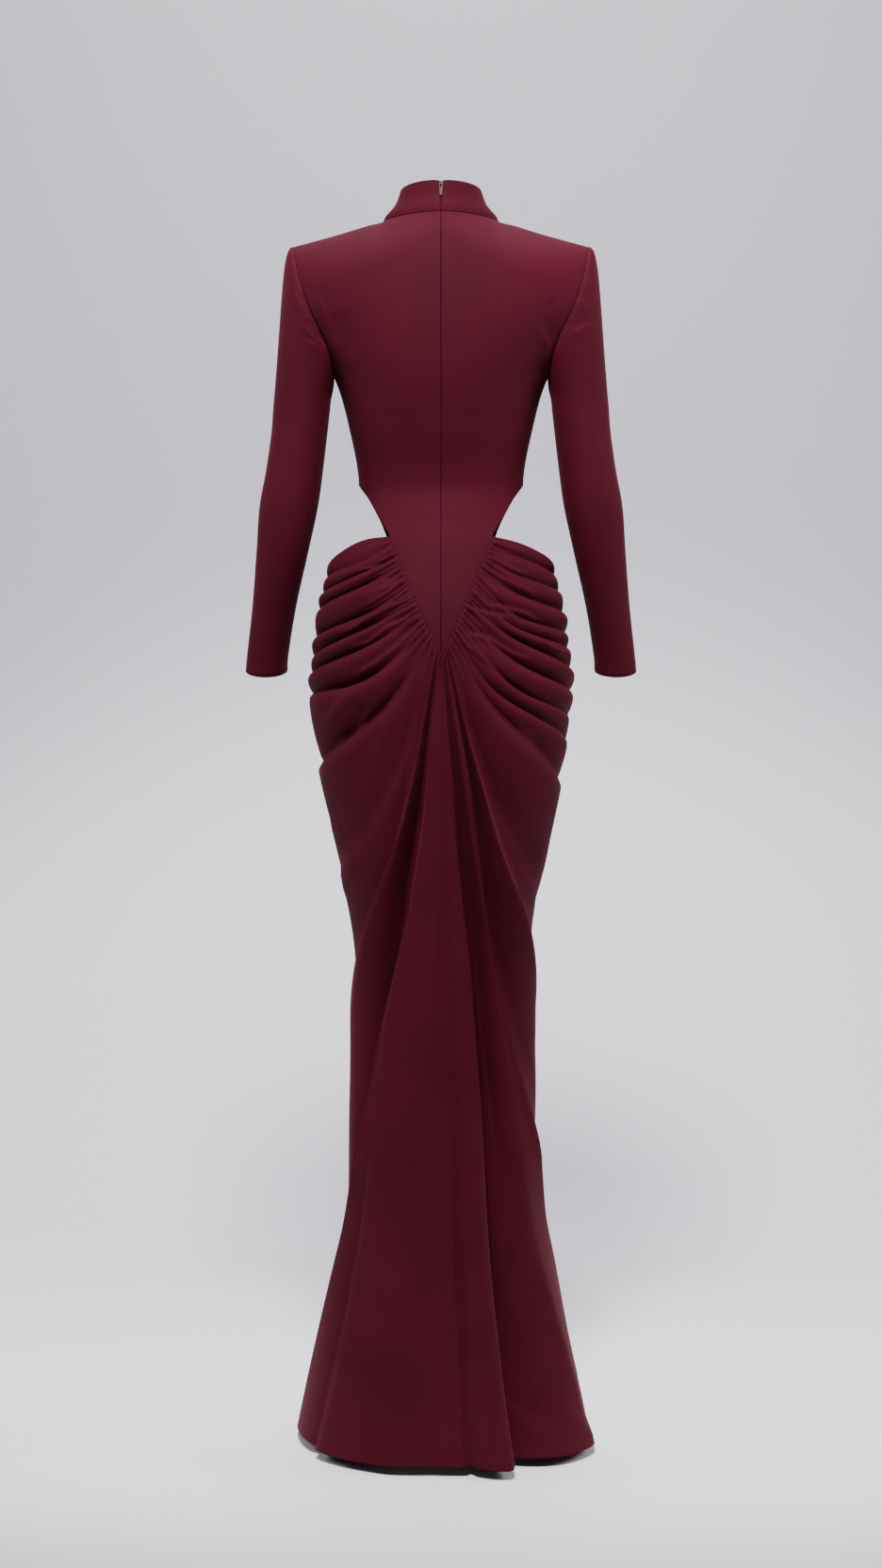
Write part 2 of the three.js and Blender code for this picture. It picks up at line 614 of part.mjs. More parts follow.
function skirtBack() {
  const columns = [];
  for (let i = 0; i < LINES.length - 1; i += 1) {
    for (const place of PLACES) columns.push([i, place]);
  }
  columns.push([LINES.length - 1, 0]);
  const grid = ALONG_STEPS.map((v) => columns.map(([i, place]) => foldedPoint(i, place, v)));
  const turnOfPoint = ({ x, y, z }) => THREE.MathUtils.radToDeg(Math.atan2(x - formAt("lean", z), y));
  const onSideSeam = (point) => Math.abs(Math.abs(turnOfPoint(point)) - SIDE_SEAM_TURN) < 1;
  return wall(grid, SKIRT_WALL, {
    facing: -1,
    fix: (r, c, normal) => {
      const point = grid[r][c];
      const { outward } = formPlace(turnOfPoint(point), point.z);
      if (r === ALONG_STEPS.length - 1 && onSideSeam(point)) return outward;
      const [before, after] = [Math.max(c - 1, 0), Math.min(c + 1, columns.length - 1)];
      const room = grid[r][before].distanceTo(grid[r][after]);
      return outward.lerp(normal, smoothstep(room, CROWDED.below, CROWDED.above)).normalize();
    },
  });
}

// Front skirt: smooth over the hips, with soft flutes opening towards the hem.
const FLUTES = { count: 5, height: 7, from: -1050 };
const SIDE_GAP_TURN = 0.4; // degrees between the front skirt and the side seam
const FRONT_TURNS = [0, 10, 19, 27, 33.5, 40, 47, 56, 180 - SIDE_SEAM_TURN - SIDE_GAP_TURN];
const FRONT_SEAM_TURN = 30; // degrees from the centre front to the foot of the cut-out
const FRONT_ROWS = 20;

function frontSkirtTop(turn) {
  const away = Math.abs(180 - turn);
  const inner = smoothstep(away, FRONT_SEAM_TURN, 180 - SIDE_SEAM_TURN);
  const seamX = Math.min(Math.abs(skirtPoint(turn, FRONT_FOOT_Z, 0).x) / FRONT_FOOT_HALF, 1);
  const seam = FRONT_FOOT_Z - FRONT_DIP * (1 - seamX * seamX) - 2 * SEAM_GAP;
  return lerp(seam, SIDE_TOP_Z, inner);
}

function frontSkirtPoint(turn, down) {
  const z = lerp(frontSkirtTop(turn), HEM_Z, down);
  const away = Math.abs(180 - turn) / (180 - SIDE_SEAM_TURN);
  const opening = smoothstep(FLUTES.from - z, 0, FLUTES.from - HEM_Z) * (1 - Math.pow(away, 4));
  const flute = FLUTES.height * opening * Math.cos(Math.PI * FLUTES.count * (away - 1));
  return skirtPoint(turn, z, SIDE_LIFT + flute);
}

function skirtFront() {
  const half = FRONT_TURNS.map((away) => 180 - away);
  const turns = [...half.slice(1).map((turn) => 360 - turn).reverse(), ...half];
  const grid = Array.from({ length: FRONT_ROWS + 1 }, (_, r) =>
    turns.map((turn) => frontSkirtPoint(turn, r / FRONT_ROWS)),
  );
  return wall(grid, SKIRT_WALL, {
    facing: -1,
    fix: (r, c) => (c === 0 || c === turns.length - 1 ? formPlace(turns[c], grid[r][c].z).outward : null),
  });
}

// Zip: a tape behind the gap, a slider at the top of the collar and a pull tab that swings on its bail.
const ZIP = { half: 6, thick: 0.8, footLevel: -459, behind: 1.1, bow: 1.1 };

function zipTape() {
  const collarRows = COLLAR_RISE.up.slice(0, -1).reverse().map((up) => collarPoint(0, up));
  const backLevels = BACK_LEVELS.slice(1).filter((level) => level >= ZIP.footLevel);
  const backRows = backLevels.map((level) => bodiceRow(level, 1, 1)[0]);
  const line = [...collarRows, ...backRows].map((point) => point.setX(0));
  const offset = (i) => (i < collarRows.length ? COLLAR_WALL : BODICE_WALL) + ZIP.behind;
  const grid = line.map((point, i) => {
    const before = line[Math.max(i - 1, 0)];
    const after = line[Math.min(i + 1, line.length - 1)];
    const down = after.clone().sub(before).normalize();
    const outward = new THREE.Vector3(0, -down.z, down.y).normalize();
    const centre = point.clone().addScaledVector(outward, -offset(i));
    const across = (k) => new THREE.Vector3(k * ZIP.half, -ZIP.bow * Math.abs(k), 0);
    return [-1, 0, 1].map((k) => centre.clone().add(across(k)));
  });
  return wall(grid, ZIP.thick, { facing: 1 });
}

// The slider and tab are drawn with X across the zip, Y away from the collar and Z up along it.
// The slider's top face is at Y 0, and the tab's bar runs through the tunnel under its bail.
const SLIDER = { place: 0.85, reach: 0.1, half: 2.3, long: 6.6, thick: 1.9, proud: 0.3, bevel: 0.5 };
const SLIDER_NECK = { half: 0.2, long: 4.4, deep: 2.5, bevel: 0.1 }; // the web that reaches in
const BAIL = { half: 0.75, long: 5, high: 2.6, shoulder: 1.1, sunk: 0.3 };
const TUNNEL = { long: 3.2, high: 1.7, bevel: 0.3 };
const TAB = {
  bar: 0.45,
  eyeHalf: 1.2,
  eye: 4.2,
  half: 1.95,
  shoulder: 5.1,
  long: 15,
  tipHalf: 1.6,
  round: 1.6,
};

// A closed outline of lengths and heights, given a width across the zip.
function acrossZip(outline, half) {
  const shape = new THREE.Shape(outline.map(([long, high]) => new THREE.Vector2(long, high)));
  const made = new THREE.ExtrudeGeometry(shape, { depth: 2 * half, bevelEnabled: false });
  return made.translate(0, 0, -half).rotateY(-Math.PI / 2);
}

// The outline of a block that stands from one height to another, with its upper corners cut off.
function blockOutline(long, low, high, cut) {
  return [
    [-long / 2, low],
    [long / 2, low],
    [long / 2, high - cut],
    [long / 2 - cut, high],
    [cut - long / 2, high],
    [-long / 2, high - cut],
  ];
}

function toSolid(geometry) {
  const bare = geometry.clone();
  bare.deleteAttribute("normal");
  bare.deleteAttribute("uv");
  const merged = mergeVertices(bare);
  const vertProperties = merged.getAttribute("position").array;
  const triVerts = new Uint32Array(merged.index.array);
  return new solids.Manifold(new solids.Mesh({ numProp: 3, vertProperties, triVerts }));
}

function fromSolid(solid) {
  const { vertProperties, triVerts } = solid.getMesh();
  const made = new THREE.BufferGeometry();
  made.setAttribute("position", new THREE.BufferAttribute(vertProperties, 3));
  return made.setIndex(new THREE.BufferAttribute(triVerts, 1));
}

function sliderGeometry() {
  const block = (long, low, high, cut, half) => toSolid(acrossZip(blockOutline(long, low, high, cut), half));
  const body = block(SLIDER.long, -SLIDER.thick, 0, SLIDER.bevel, SLIDER.half);
  const neckFoot = -SLIDER.thick - SLIDER_NECK.deep;
  const neck = block(SLIDER_NECK.long, neckFoot, -SLIDER.thick / 2, SLIDER_NECK.bevel, SLIDER_NECK.half);
  const bail = block(BAIL.long, -BAIL.sunk, BAIL.high, BAIL.shoulder, BAIL.half);
  const tunnel = block(TUNNEL.long, 0, TUNNEL.high, TUNNEL.bevel, SLIDER.half);
  return fromSolid(body.add(neck).add(bail).subtract(tunnel));
}

function tabGeometry() {
  const outline = new THREE.Shape();
  outline.moveTo(-TAB.half, TAB.bar);
  outline.lineTo(-TAB.half, -TAB.shoulder);
  outline.lineTo(-TAB.tipHalf, -TAB.long + TAB.round);
  outline.quadraticCurveTo(-TAB.tipHalf, -TAB.long, 0, -TAB.long);
  outline.quadraticCurveTo(TAB.tipHalf, -TAB.long, TAB.tipHalf, -TAB.long + TAB.round);
  outline.lineTo(TAB.half, -TAB.shoulder);
  outline.lineTo(TAB.half, TAB.bar);
  const eye = new THREE.Path();
  eye.moveTo(-TAB.eyeHalf, -TAB.bar);
  eye.lineTo(TAB.eyeHalf, -TAB.bar);
  eye.lineTo(TAB.eyeHalf, -TAB.eye);
  eye.lineTo(-TAB.eyeHalf, -TAB.eye);
  outline.holes.push(eye);
  const settings = { depth: 2 * TAB.bar, bevelEnabled: false, curveSegments: 5 };
  const plate = new THREE.ExtrudeGeometry(outline, settings);
  return fromSolid(toSolid(plate.translate(0, 0, -TAB.bar).rotateX(Math.PI / 2)));
}

// The slider and its hanging tab, on the collar's centre back line and leaning as the collar leans.
function zipHead() {
  const here = collarPoint(0, SLIDER.place).setX(0);
  const below = collarPoint(0, SLIDER.place - SLIDER.reach);
  const above = collarPoint(0, SLIDER.place + SLIDER.reach);
  const up = new THREE.Vector3(0, above.y - below.y, above.z - below.z).normalize();
  const head = new THREE.Group();
  const outward = new THREE.Vector3(0, up.z, -up.y);
  head.position.copy(here).addScaledVector(outward, SLIDER.proud + SLIDER.thick);
  head.rotation.x = Math.atan2(-up.y, up.z);
  const tab = piece("zip_pull_tab", tabGeometry(), METAL);
  tab.position.y = TUNNEL.high / 2;
  head.add(piece("zip_slider", sliderGeometry(), METAL), tab);
  return head;
}

const dress = new THREE.Group();
dress.add(piece("collar", collar(), CLOTH));
dress.add(piece("back_left", backHalf(1), CLOTH));
dress.add(piece("back_right", backHalf(-1), CLOTH));
dress.add(piece("front", frontPanel(), CLOTH));
dress.add(piece("sleeve_left", sleeve(1), CLOTH));
dress.add(piece("sleeve_right", sleeve(-1), CLOTH));
dress.add(piece("skirt_back", skirtBack(), CLOTH));
dress.add(piece("skirt_front", skirtFront(), CLOTH));
dress.add(piece("zip_tape", zipTape(), CLOTH));
dress.add(zipHead());
export default dress;
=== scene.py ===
import json
import math

import bpy
import numpy as np
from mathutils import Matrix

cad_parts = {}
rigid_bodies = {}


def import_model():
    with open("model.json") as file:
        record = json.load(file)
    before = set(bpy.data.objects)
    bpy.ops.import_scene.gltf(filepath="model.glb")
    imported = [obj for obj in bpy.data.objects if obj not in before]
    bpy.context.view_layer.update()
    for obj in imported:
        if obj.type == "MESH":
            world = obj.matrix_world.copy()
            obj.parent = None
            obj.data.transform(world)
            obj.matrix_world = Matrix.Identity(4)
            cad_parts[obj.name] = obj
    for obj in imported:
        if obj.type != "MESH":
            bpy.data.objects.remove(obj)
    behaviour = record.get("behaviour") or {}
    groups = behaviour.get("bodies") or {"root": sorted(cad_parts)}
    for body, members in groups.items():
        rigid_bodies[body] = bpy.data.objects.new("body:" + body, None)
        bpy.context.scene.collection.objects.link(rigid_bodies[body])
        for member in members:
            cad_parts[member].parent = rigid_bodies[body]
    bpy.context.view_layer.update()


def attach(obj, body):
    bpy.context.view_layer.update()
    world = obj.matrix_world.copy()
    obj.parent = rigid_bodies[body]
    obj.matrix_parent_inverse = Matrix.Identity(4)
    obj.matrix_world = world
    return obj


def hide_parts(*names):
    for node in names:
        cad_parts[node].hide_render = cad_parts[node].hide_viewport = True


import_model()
MM = 0.001

# Camera: the height, distance and slight downward tilt of the photograph's view from behind.
camera = bpy.data.objects.new("camera", bpy.data.cameras.new("camera"))
bpy.context.collection.objects.link(camera)
camera.data.lens = 64.9
camera.data.sensor_width = 36
camera.location = (0, 3.58, -0.4565)
camera.rotation_euler = (math.radians(90 - 3.49), 0, math.pi)
bpy.context.scene.camera = camera


# Curves and the form, the same as the solids'
def table(columns, rows):
    return {name: np.array([row[i] for row in rows], float) for i, name in enumerate(columns)}


def smooth(xs, ys, x):
    """A cubic through the rows, with each slope taken from the two rows around it."""
    if xs[0] > xs[-1]:
        xs, ys = xs[::-1], ys[::-1]
    x = np.asarray(x, float)
    i = np.clip(np.searchsorted(xs, x, side="right") - 1, 0, len(xs) - 2)
    before = np.maximum(np.arange(len(xs)) - 1, 0)
    after = np.minimum(np.arange(len(xs)) + 1, len(xs) - 1)
    slope = (ys[after] - ys[before]) / (xs[after] - xs[before])
    span = xs[i + 1] - xs[i]
    t = np.clip((x - xs[i]) / span, 0, 1)
    t2, t3 = t * t, t * t * t
    return (
        ys[i] * (2 * t3 - 3 * t2 + 1)
        + ys[i + 1] * (3 * t2 - 2 * t3)
        + span * (slope[i] * (t3 - 2 * t2 + t) + slope[i + 1] * (t3 - t2))
    )


def smoothstep(x, low, high):
    t = np.clip((np.asarray(x, float) - low) / (high - low), 0, 1)
    return t * t * (3 - 2 * t)


def lerp(a, b, t):
    return a + (b - a) * t


SHOULDER_HALF = 184
UNDERARM_Z = -165
WAIST_Z = -298.5
CUTOUT_FOOT_Z = -363.5
CUTOUT_FOOT_HALF = 63.5
POINT_Z = -515
HEM_Z = -1502
NECK_HALF = 72
BODICE_WALL = 1.6
SLEEVE_WALL = 1.5
SKIRT_WALL = 1.3
COLLAR_WALL = 2.4
SEAM_GAP = 0.3
ZIP_HALF_GAP = 0.45
SIDE_SEAM_TURN = 115
FRONT_FOOT_Z = -392
FRONT_FOOT_HALF = 62
FRONT_DIP = 8  # the front waist seam is this much lower at its centre
SIDE_TOP_Z = -392
PANEL_TIP_Z = POINT_Z + 1.4
PANEL_TIP_HALF = 1.1
LIFT_FOOT_Z = -140  # down to here the bodice's levels follow the shoulder and neck
BUST = {"x": 76, "z": -178, "wide": 44, "high": 48, "rise": 15}

FORM = table(
    ["z", "half", "back", "front", "power", "lean"],
    [
        [80, 205, 44, 46, 2.2, 0],
        [0, 200, 80, 74, 2.2, 0],
        [-40, 199, 92, 88, 2.2, 0],
        [-81, 190, 99, 98, 2.2, 0],
        [-120, 163, 101, 105, 2.2, 0],
        [-165, 134, 97, 108, 2.2, 0],
        [-230, 115, 79, 98, 2.2, 0],
        [-298.5, 103.8, 62, 80, 2.2, 0],
        [-341, 113, 72, 82, 2.2, 0],
        [-371, 128, 85, 86, 2.2, 0],
        [-419, 145, 102, 92, 2.2, 0],
        [-457, 153, 113, 95, 2.2, 0],
        [-517, 161, 121, 97, 2.2, 0],
        [-561, 163, 121, 98, 2.2, 0],
        [-606, 159, 118, 99, 2.2, 0],
        [-666, 148, 113, 99, 2.2, -1],
        [-762, 131, 106, 96, 2.2, -2],
        [-881, 112.5, 102, 89, 2.2, -3.4],
        [-1000, 114, 105, 86, 2.2, -4.4],
        [-1060, 118, 108, 87, 2.2, -5.6],
        [-1120, 121, 113, 89, 2.3, -5.2],
        [-1215, 123, 122, 95, 2.3, -3],
        [-1287, 136, 132, 101, 2.4, -2.8],
        [-1358, 151, 144, 108, 2.5, -2.8],
        [-1430, 167, 157, 116, 2.6, -2.4],
        [-1502, 183.5, 172, 124, 2.6, -2.4],
    ],
)
SHOULDER = table(["x", "z"], [[0, 72], [40, 50], [72, 31], [91, 26], [131, 14], [184, 0]])
ARMHOLE = table(["z", "x"], [[0, 184], [-35, 178], [-81, 163], [-117, 146], [-140, 138], [-165, 134]])
BACK_CUTOUT = table(["z", "x"], [[-298.5, 103.8], [-308, 96], [-322, 87.5], [-343, 75], [-363.5, 63.5]])
FRONT_CUTOUT = table(["z", "x"], [[-298.5, 103.8], [-316, 91], [-345, 75], [-370, 66], [-392, 62]])
SHOULDER_ROUND = 62
NECK_BACK_RISE = 6
NECK_FRONT_DROP = 24


def form_at(name, z):
    return smooth(FORM["z"], FORM[name], z)


def bodice_point(x, z, side):
    """A place on the outside of the bodice. Side is 1 behind and -1 before."""
    x, z = np.broadcast_arrays(np.asarray(x, float), np.asarray(z, float))
    power, half = form_at("power", z), form_at("half", z)
    share = np.maximum(0, 1 - np.minimum(np.abs(x) / half, 1) ** power)
    below = smooth(SHOULDER["x"], SHOULDER["z"], np.abs(x)) - z
    closing = np.clip(1 - below / SHOULDER_ROUND, 0, 1)
    depth = form_at("back" if side > 0 else "front", z) * share ** (1 / power)
    if side < 0:
        across, down = (np.abs(x) - BUST["x"]) / BUST["wide"], (z - BUST["z"]) / BUST["high"]
        depth = depth + BUST["rise"] * np.exp(-across * across - down * down) * np.sqrt(share)
    y = np.maximum(depth * np.sqrt(1 - closing * closing), SEAM_GAP / 2)
    return np.stack([x, side * y, z], -1)


def outer_edge(z, side):
    """Half a bodice panel's width at a height: to the armhole, side seam, cut-out or point."""
    z = np.asarray(z, float)
    arm = smooth(ARMHOLE["z"], ARMHOLE["x"], z)
    cut = BACK_CUTOUT if side > 0 else FRONT_CUTOUT
    edge = np.where(z >= UNDERARM_Z, arm, form_at("half", z))
    edge = np.where(z < WAIST_Z, smooth(cut["z"], cut["x"], z), edge)
    if side > 0:
        down = np.clip((CUTOUT_FOOT_Z - z) / (CUTOUT_FOOT_Z - PANEL_TIP_Z), 0, 1)
        edge = np.where(z < CUTOUT_FOOT_Z, lerp(CUTOUT_FOOT_HALF, PANEL_TIP_HALF, down), edge)
    return edge


def bodice_top(x, side):
    share = np.minimum(np.abs(x) / NECK_HALF, 1)
    rise = NECK_BACK_RISE if side > 0 else -NECK_FRONT_DROP
    neck = smooth(SHOULDER["x"], SHOULDER["z"], NECK_HALF) + (1 - share * share) * rise
    return np.where(np.abs(x) < NECK_HALF - 0.01, neck, smooth(SHOULDER["x"], SHOULDER["z"], np.abs(x)))


def bodice_grid(levels, shares, side, sign):
    """Half a bodice panel, from the centre line out. Sign is 1 on the wearer's left and -1 on the right."""
    level, share = np.meshgrid(levels, shares, indexing="ij")
    edge = outer_edge(level, side) - SEAM_GAP
    x = lerp(ZIP_HALF_GAP if side > 0 else 0, edge, share)
    z = level + bodice_top(SHOULDER_HALF * share, side) * smoothstep(level, LIFT_FOOT_Z, 0)
    if side < 0:
        z -= FRONT_DIP * (1 - share * share) * smoothstep(WAIST_Z - level, 0, WAIST_Z - FRONT_FOOT_Z)
    points = bodice_point(x, z, side)
    points[..., 0] *= sign
    return points


# Shells of cloth
def normals_of(grid, facing, loop=False):
    if loop:
        along = np.roll(grid, -1, 1) - np.roll(grid, 1, 1)
    else:
        along = np.gradient(grid, axis=1)
    down = np.gradient(grid, axis=0)
    normal = np.cross(along, down) * facing
    return normal / np.maximum(np.linalg.norm(normal, axis=-1, keepdims=True), 1e-9)


def make_object(name, points, faces, material, smooth_shade=True):
    mesh = bpy.data.meshes.new(name)
    mesh.from_pydata((np.asarray(points) * MM).tolist(), [], faces)
    mesh.validate()
    mesh.update()
    if smooth_shade:
        mesh.polygons.foreach_set("use_smooth", [True] * len(mesh.polygons))
    mesh.materials.append(material)
    made = bpy.data.objects.new(name, mesh)
    bpy.context.collection.objects.link(made)
    return made


def shell(name, grid, thickness, facing, material, loop=False, normal=None):
    """A closed wall of cloth: an outside, an inside, and flat rims joining them along every open edge, all
    smooth shaded.
    """
    rows, columns = grid.shape[:2]
    normal = normals_of(grid, facing, loop) if normal is None else normal
    inner = grid - normal * thickness
    points = np.concatenate([grid.reshape(-1, 3), inner.reshape(-1, 3)])
    index = np.arange(rows * columns).reshape(rows, columns)
    if loop:
        index = np.concatenate([index, index[:, :1]], 1)
    a, b, c, d = index[:-1, :-1], index[1:, :-1], index[1:, 1:], index[:-1, 1:]
    out = np.stack([a, b, c, d], -1).reshape(-1, 4)
    n = rows * columns
    inside = np.stack([a, d, c, b], -1).reshape(-1, 4) + n
    faces = [out, inside]

    def rim(edge, flip):
        p, q = edge[:-1], edge[1:]
        quads = np.stack([p, q, q + n, p + n], -1)
        faces.append(quads[:, ::-1] if flip else quads)

    rim(index[0], False)
    rim(index[-1], True)
    if not loop:
        rim(index[:, 0], True)
        rim(index[:, -1], False)
    faces = np.concatenate(faces)
    if facing > 0:
        faces = faces[:, ::-1]
    return make_object(name, points, faces.tolist(), material)


def dense(values, steps):
    """Each step between the values split into that many."""
    values = np.asarray(values, float)
    out = [lerp(a, b, np.arange(steps) / steps) for a, b in zip(values, values[1:])]
    return np.append(np.concatenate(out), values[-1])


def tuck(grid, facing, side, reach=2.6, drop=2.0):
    """Adds a row or column that runs on past an edge and under the neighbour, as a seam allowance does."""
    normal = normals_of(grid, facing)
    by_column, first = side.endswith("column"), side.startswith("first")
    if by_column:
        grid, normal = grid.transpose(1, 0, 2), normal.transpose(1, 0, 2)
    edge, inside, n = (grid[0], grid[1], normal[0]) if first else (grid[-1], grid[-2], normal[-1])
    away = edge - inside
    away /= np.maximum(np.linalg.norm(away, axis=-1, keepdims=True), 1e-6)
    extra = edge + away * reach - n * drop
    lip = edge + away * 0.2 - n * drop * 0.45
    grid = np.concatenate([extra[None], lip[None], grid] if first else [grid, lip[None], extra[None]])
    return grid.transpose(1, 0, 2) if by_column else grid


def tuck_all(grid, facing, sides):
    for side in sides:
        grid = tuck(grid, facing, side)
    return grid


def crease_height(points, creases):
    """How far points behind stand off because of creases, each a line of x and z seen from behind.

    A crease is a valley just above its line and a ridge just below, both fading towards its ends.
    """
    x, z, behind = points[..., 0], points[..., 2], smoothstep(points[..., 1], -40, 0)
    total = np.zeros(x.shape)
    for width, valley, ridge, line in creases:
        line = np.array(line, float)
        lengths = np.hypot(*np.diff(line, axis=0).T)
        reach = np.concatenate([[0], np.cumsum(lengths)]) / lengths.sum()
        nearest = np.full(x.shape, 1e9)
        signed, place = np.zeros(x.shape), np.zeros(x.shape)
        for a, b, start, end, size in zip(line, line[1:], reach, reach[1:], lengths):
            direction = (b - a) / size
            above = np.array([-direction[1], direction[0]]) * (1 if direction[0] > 0 else -1)
            along = np.clip((x - a[0]) * direction[0] + (z - a[1]) * direction[1], 0, size)
            dx, dz = x - a[0] - along * direction[0], z - a[1] - along * direction[1]
            distance = np.hypot(dx, dz)
            closer = distance < nearest
            nearest = np.where(closer, distance, nearest)
            signed = np.where(closer, distance * np.sign(dx * above[0] + dz * above[1]), signed)
            place = np.where(closer, lerp(start, end, along / size), place)
        taper = smoothstep(place, -0.02, 0.15) * (1 - smoothstep(place, 0.7, 1.02))
        d = signed / width
        down = -valley * d * np.exp(1 - d)
        up = ridge * (-d / 0.7) * np.exp(1 + d / 0.7)
        total += np.where(d > 0, down, up) * taper * behind * (nearest < 8 * width)
    return total


# Materials
def new_material(name, color, roughness):
    made = bpy.data.materials.new(name)
    made.use_nodes = True
    shader = made.node_tree.nodes["Principled BSDF"]
    shader.inputs["Base Color"].default_value = (*color, 1)
    shader.inputs["Roughness"].default_value = roughness
    return made, made.node_tree, shader


def cloth_material(name, dark, light, grain=1400, bump=0.10, sheen=0.35):
    made, tree, shader = new_material(name, light, 0.8)
    nodes, links = tree.nodes, tree.links
    place = nodes.new("ShaderNodeTexCoord")
    cloudy = nodes.new("ShaderNodeTexNoise")
    cloudy.inputs["Scale"].default_value = 7
    cloudy.inputs["Detail"].default_value = 4
    fine = nodes.new("ShaderNodeTexNoise")
    fine.inputs["Scale"].default_value = grain
    fine.inputs["Detail"].default_value = 3
    thread = nodes.new("ShaderNodeTexWave")
    thread.bands_direction = "Z"
    thread.inputs["Scale"].default_value = 420
    thread.inputs["Distortion"].default_value = 5
    thread.inputs["Detail"].default_value = 2
    thread.inputs["Detail Scale"].default_value = 2
    for texture in (cloudy, fine, thread):
        links.new(place.outputs["Object"], texture.inputs["Vector"])
    blend = nodes.new("ShaderNodeMath")
    blend.operation = "MULTIPLY_ADD"
    blend.inputs[1].default_value = 0.45
    links.new(fine.outputs["Fac"], blend.inputs[0])
    links.new(cloudy.outputs["Fac"], blend.inputs[2])
    ramp = nodes.new("ShaderNodeValToRGB")
    ramp.color_ramp.elements[0].position = 0.5
    ramp.color_ramp.elements[0].color = (*dark, 1)
    ramp.color_ramp.elements[1].position = 0.95
    ramp.color_ramp.elements[1].color = (*light, 1)
    links.new(blend.outputs[0], ramp.inputs["Fac"])
    links.new(ramp.outputs["Color"], shader.inputs["Base Color"])
    rough = nodes.new("ShaderNodeMapRange")
    rough.inputs["To Min"].default_value = 0.66
    rough.inputs["To Max"].default_value = 0.86
    links.new(fine.outputs["Fac"], rough.inputs["Value"])
    links.new(rough.outputs["Result"], shader.inputs["Roughness"])
    height = nodes.new("ShaderNodeMath")
    height.operation = "MULTIPLY_ADD"
    height.inputs[1].default_value = 0.5
    links.new(thread.outputs["Fac"], height.inputs[0])
    links.new(fine.outputs["Fac"], height.inputs[2])
    relief = nodes.new("ShaderNodeBump")
    relief.inputs["Strength"].default_value = bump
    relief.inputs["Distance"].default_value = 0.0004
    links.new(height.outputs[0], relief.inputs["Height"])
    links.new(relief.outputs["Normal"], shader.inputs["Normal"])
    shader.inputs["Sheen Weight"].default_value = sheen
    shader.inputs["Sheen Roughness"].default_value = 0.45
    shader.inputs["Sheen Tint"].default_value = (1.0, 0.14, 0.26, 1)
    shader.inputs["Specular IOR Level"].default_value = 0.07
    return made


def metal_material(name, color):
    made, tree, shader = new_material(name, color, 0.35)
    nodes, links = tree.nodes, tree.links
    place = nodes.new("ShaderNodeTexCoord")
    scuff = nodes.new("ShaderNodeTexNoise")
    scuff.inputs["Scale"].default_value = 900
    scuff.inputs["Detail"].default_value = 5
    links.new(place.outputs["Object"], scuff.inputs["Vector"])
    rough = nodes.new("ShaderNodeMapRange")
    rough.inputs["To Min"].default_value = 0.45
    rough.inputs["To Max"].default_value = 0.65
    links.new(scuff.outputs["Fac"], rough.inputs["Value"])
    links.new(rough.outputs["Result"], shader.inputs["Roughness"])
    edge = nodes.new("ShaderNodeValToRGB")
    edge.color_ramp.elements[0].position = 0.35
    edge.color_ramp.elements[0].color = (*color, 1)
    edge.color_ramp.elements[1].position = 0.8
    edge.color_ramp.elements[1].color = (0.060, 0.032, 0.036, 1)
    links.new(scuff.outputs["Fac"], edge.inputs["Fac"])
    links.new(edge.outputs["Color"], shader.inputs["Base Color"])
    shader.inputs["Metallic"].default_value = 0.5
    shader.inputs["Specular IOR Level"].default_value = 0.25
    return made


CREPE = cloth_material("crepe", (0.037, 0.0018, 0.0070), (0.052, 0.0028, 0.0100), sheen=0.05)
# Zip tape and coil: their own darker woven colour, darkened further as painted shade so the gap between the
# back panels reads dark.
ZIP_TAPE_WITH_PAINTED_SHADE = cloth_material("zip_tape_weave_and_painted_shade", (0.007, 0.001, 0.002), (0.014, 0.002, 0.004), 2200, 0.25, 0.02)
THREAD = cloth_material("thread", (0.070, 0.005, 0.012), (0.115, 0.010, 0.022), 3000, 0.2, 0.1)
ENAMEL = metal_material("zip_enamel", (0.040, 0.016, 0.019))


def cloth_piece(made, node):
    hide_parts(node)
    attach(made, "dress")


# Bodice
NECK_SHARES = (NECK_HALF / SHOULDER_HALF) * np.sin(np.linspace(0, math.pi / 2, 19))
SHARES = np.concatenate([
    [0, 0.004, 0.009], NECK_SHARES[1:], np.arange(0.405, 0.99, 0.0145), [0.993, 0.998, 1],
])
FRONT_SHARES = np.concatenate([SHARES[3:22], np.linspace(0.42, 0.98, 20), [0.993, 1]])
ZIP_FOOT_Z = -459
UPPER_LEVELS = [
    0, -0.5, -1.2, -2.1, -4, -8.3, -13, -18, -31, -46, -64, -86, -112, -136, -152, -161, UNDERARM_Z,
]
LOWER_BACK_LEVELS = [
    -198, -232, -266, WAIST_Z, -318, -343, CUTOUT_FOOT_Z, -395, -427, ZIP_FOOT_Z, -490, -505, PANEL_TIP_Z,
]
LOWER_FRONT_LEVELS = [-185, -207, -235, -266, WAIST_Z, -318, -343, -370, FRONT_FOOT_Z]
BACK_LEVELS = dense([*UPPER_LEVELS, *LOWER_BACK_LEVELS], 5)
FRONT_LEVELS = dense([*UPPER_LEVELS, *LOWER_FRONT_LEVELS], 5)

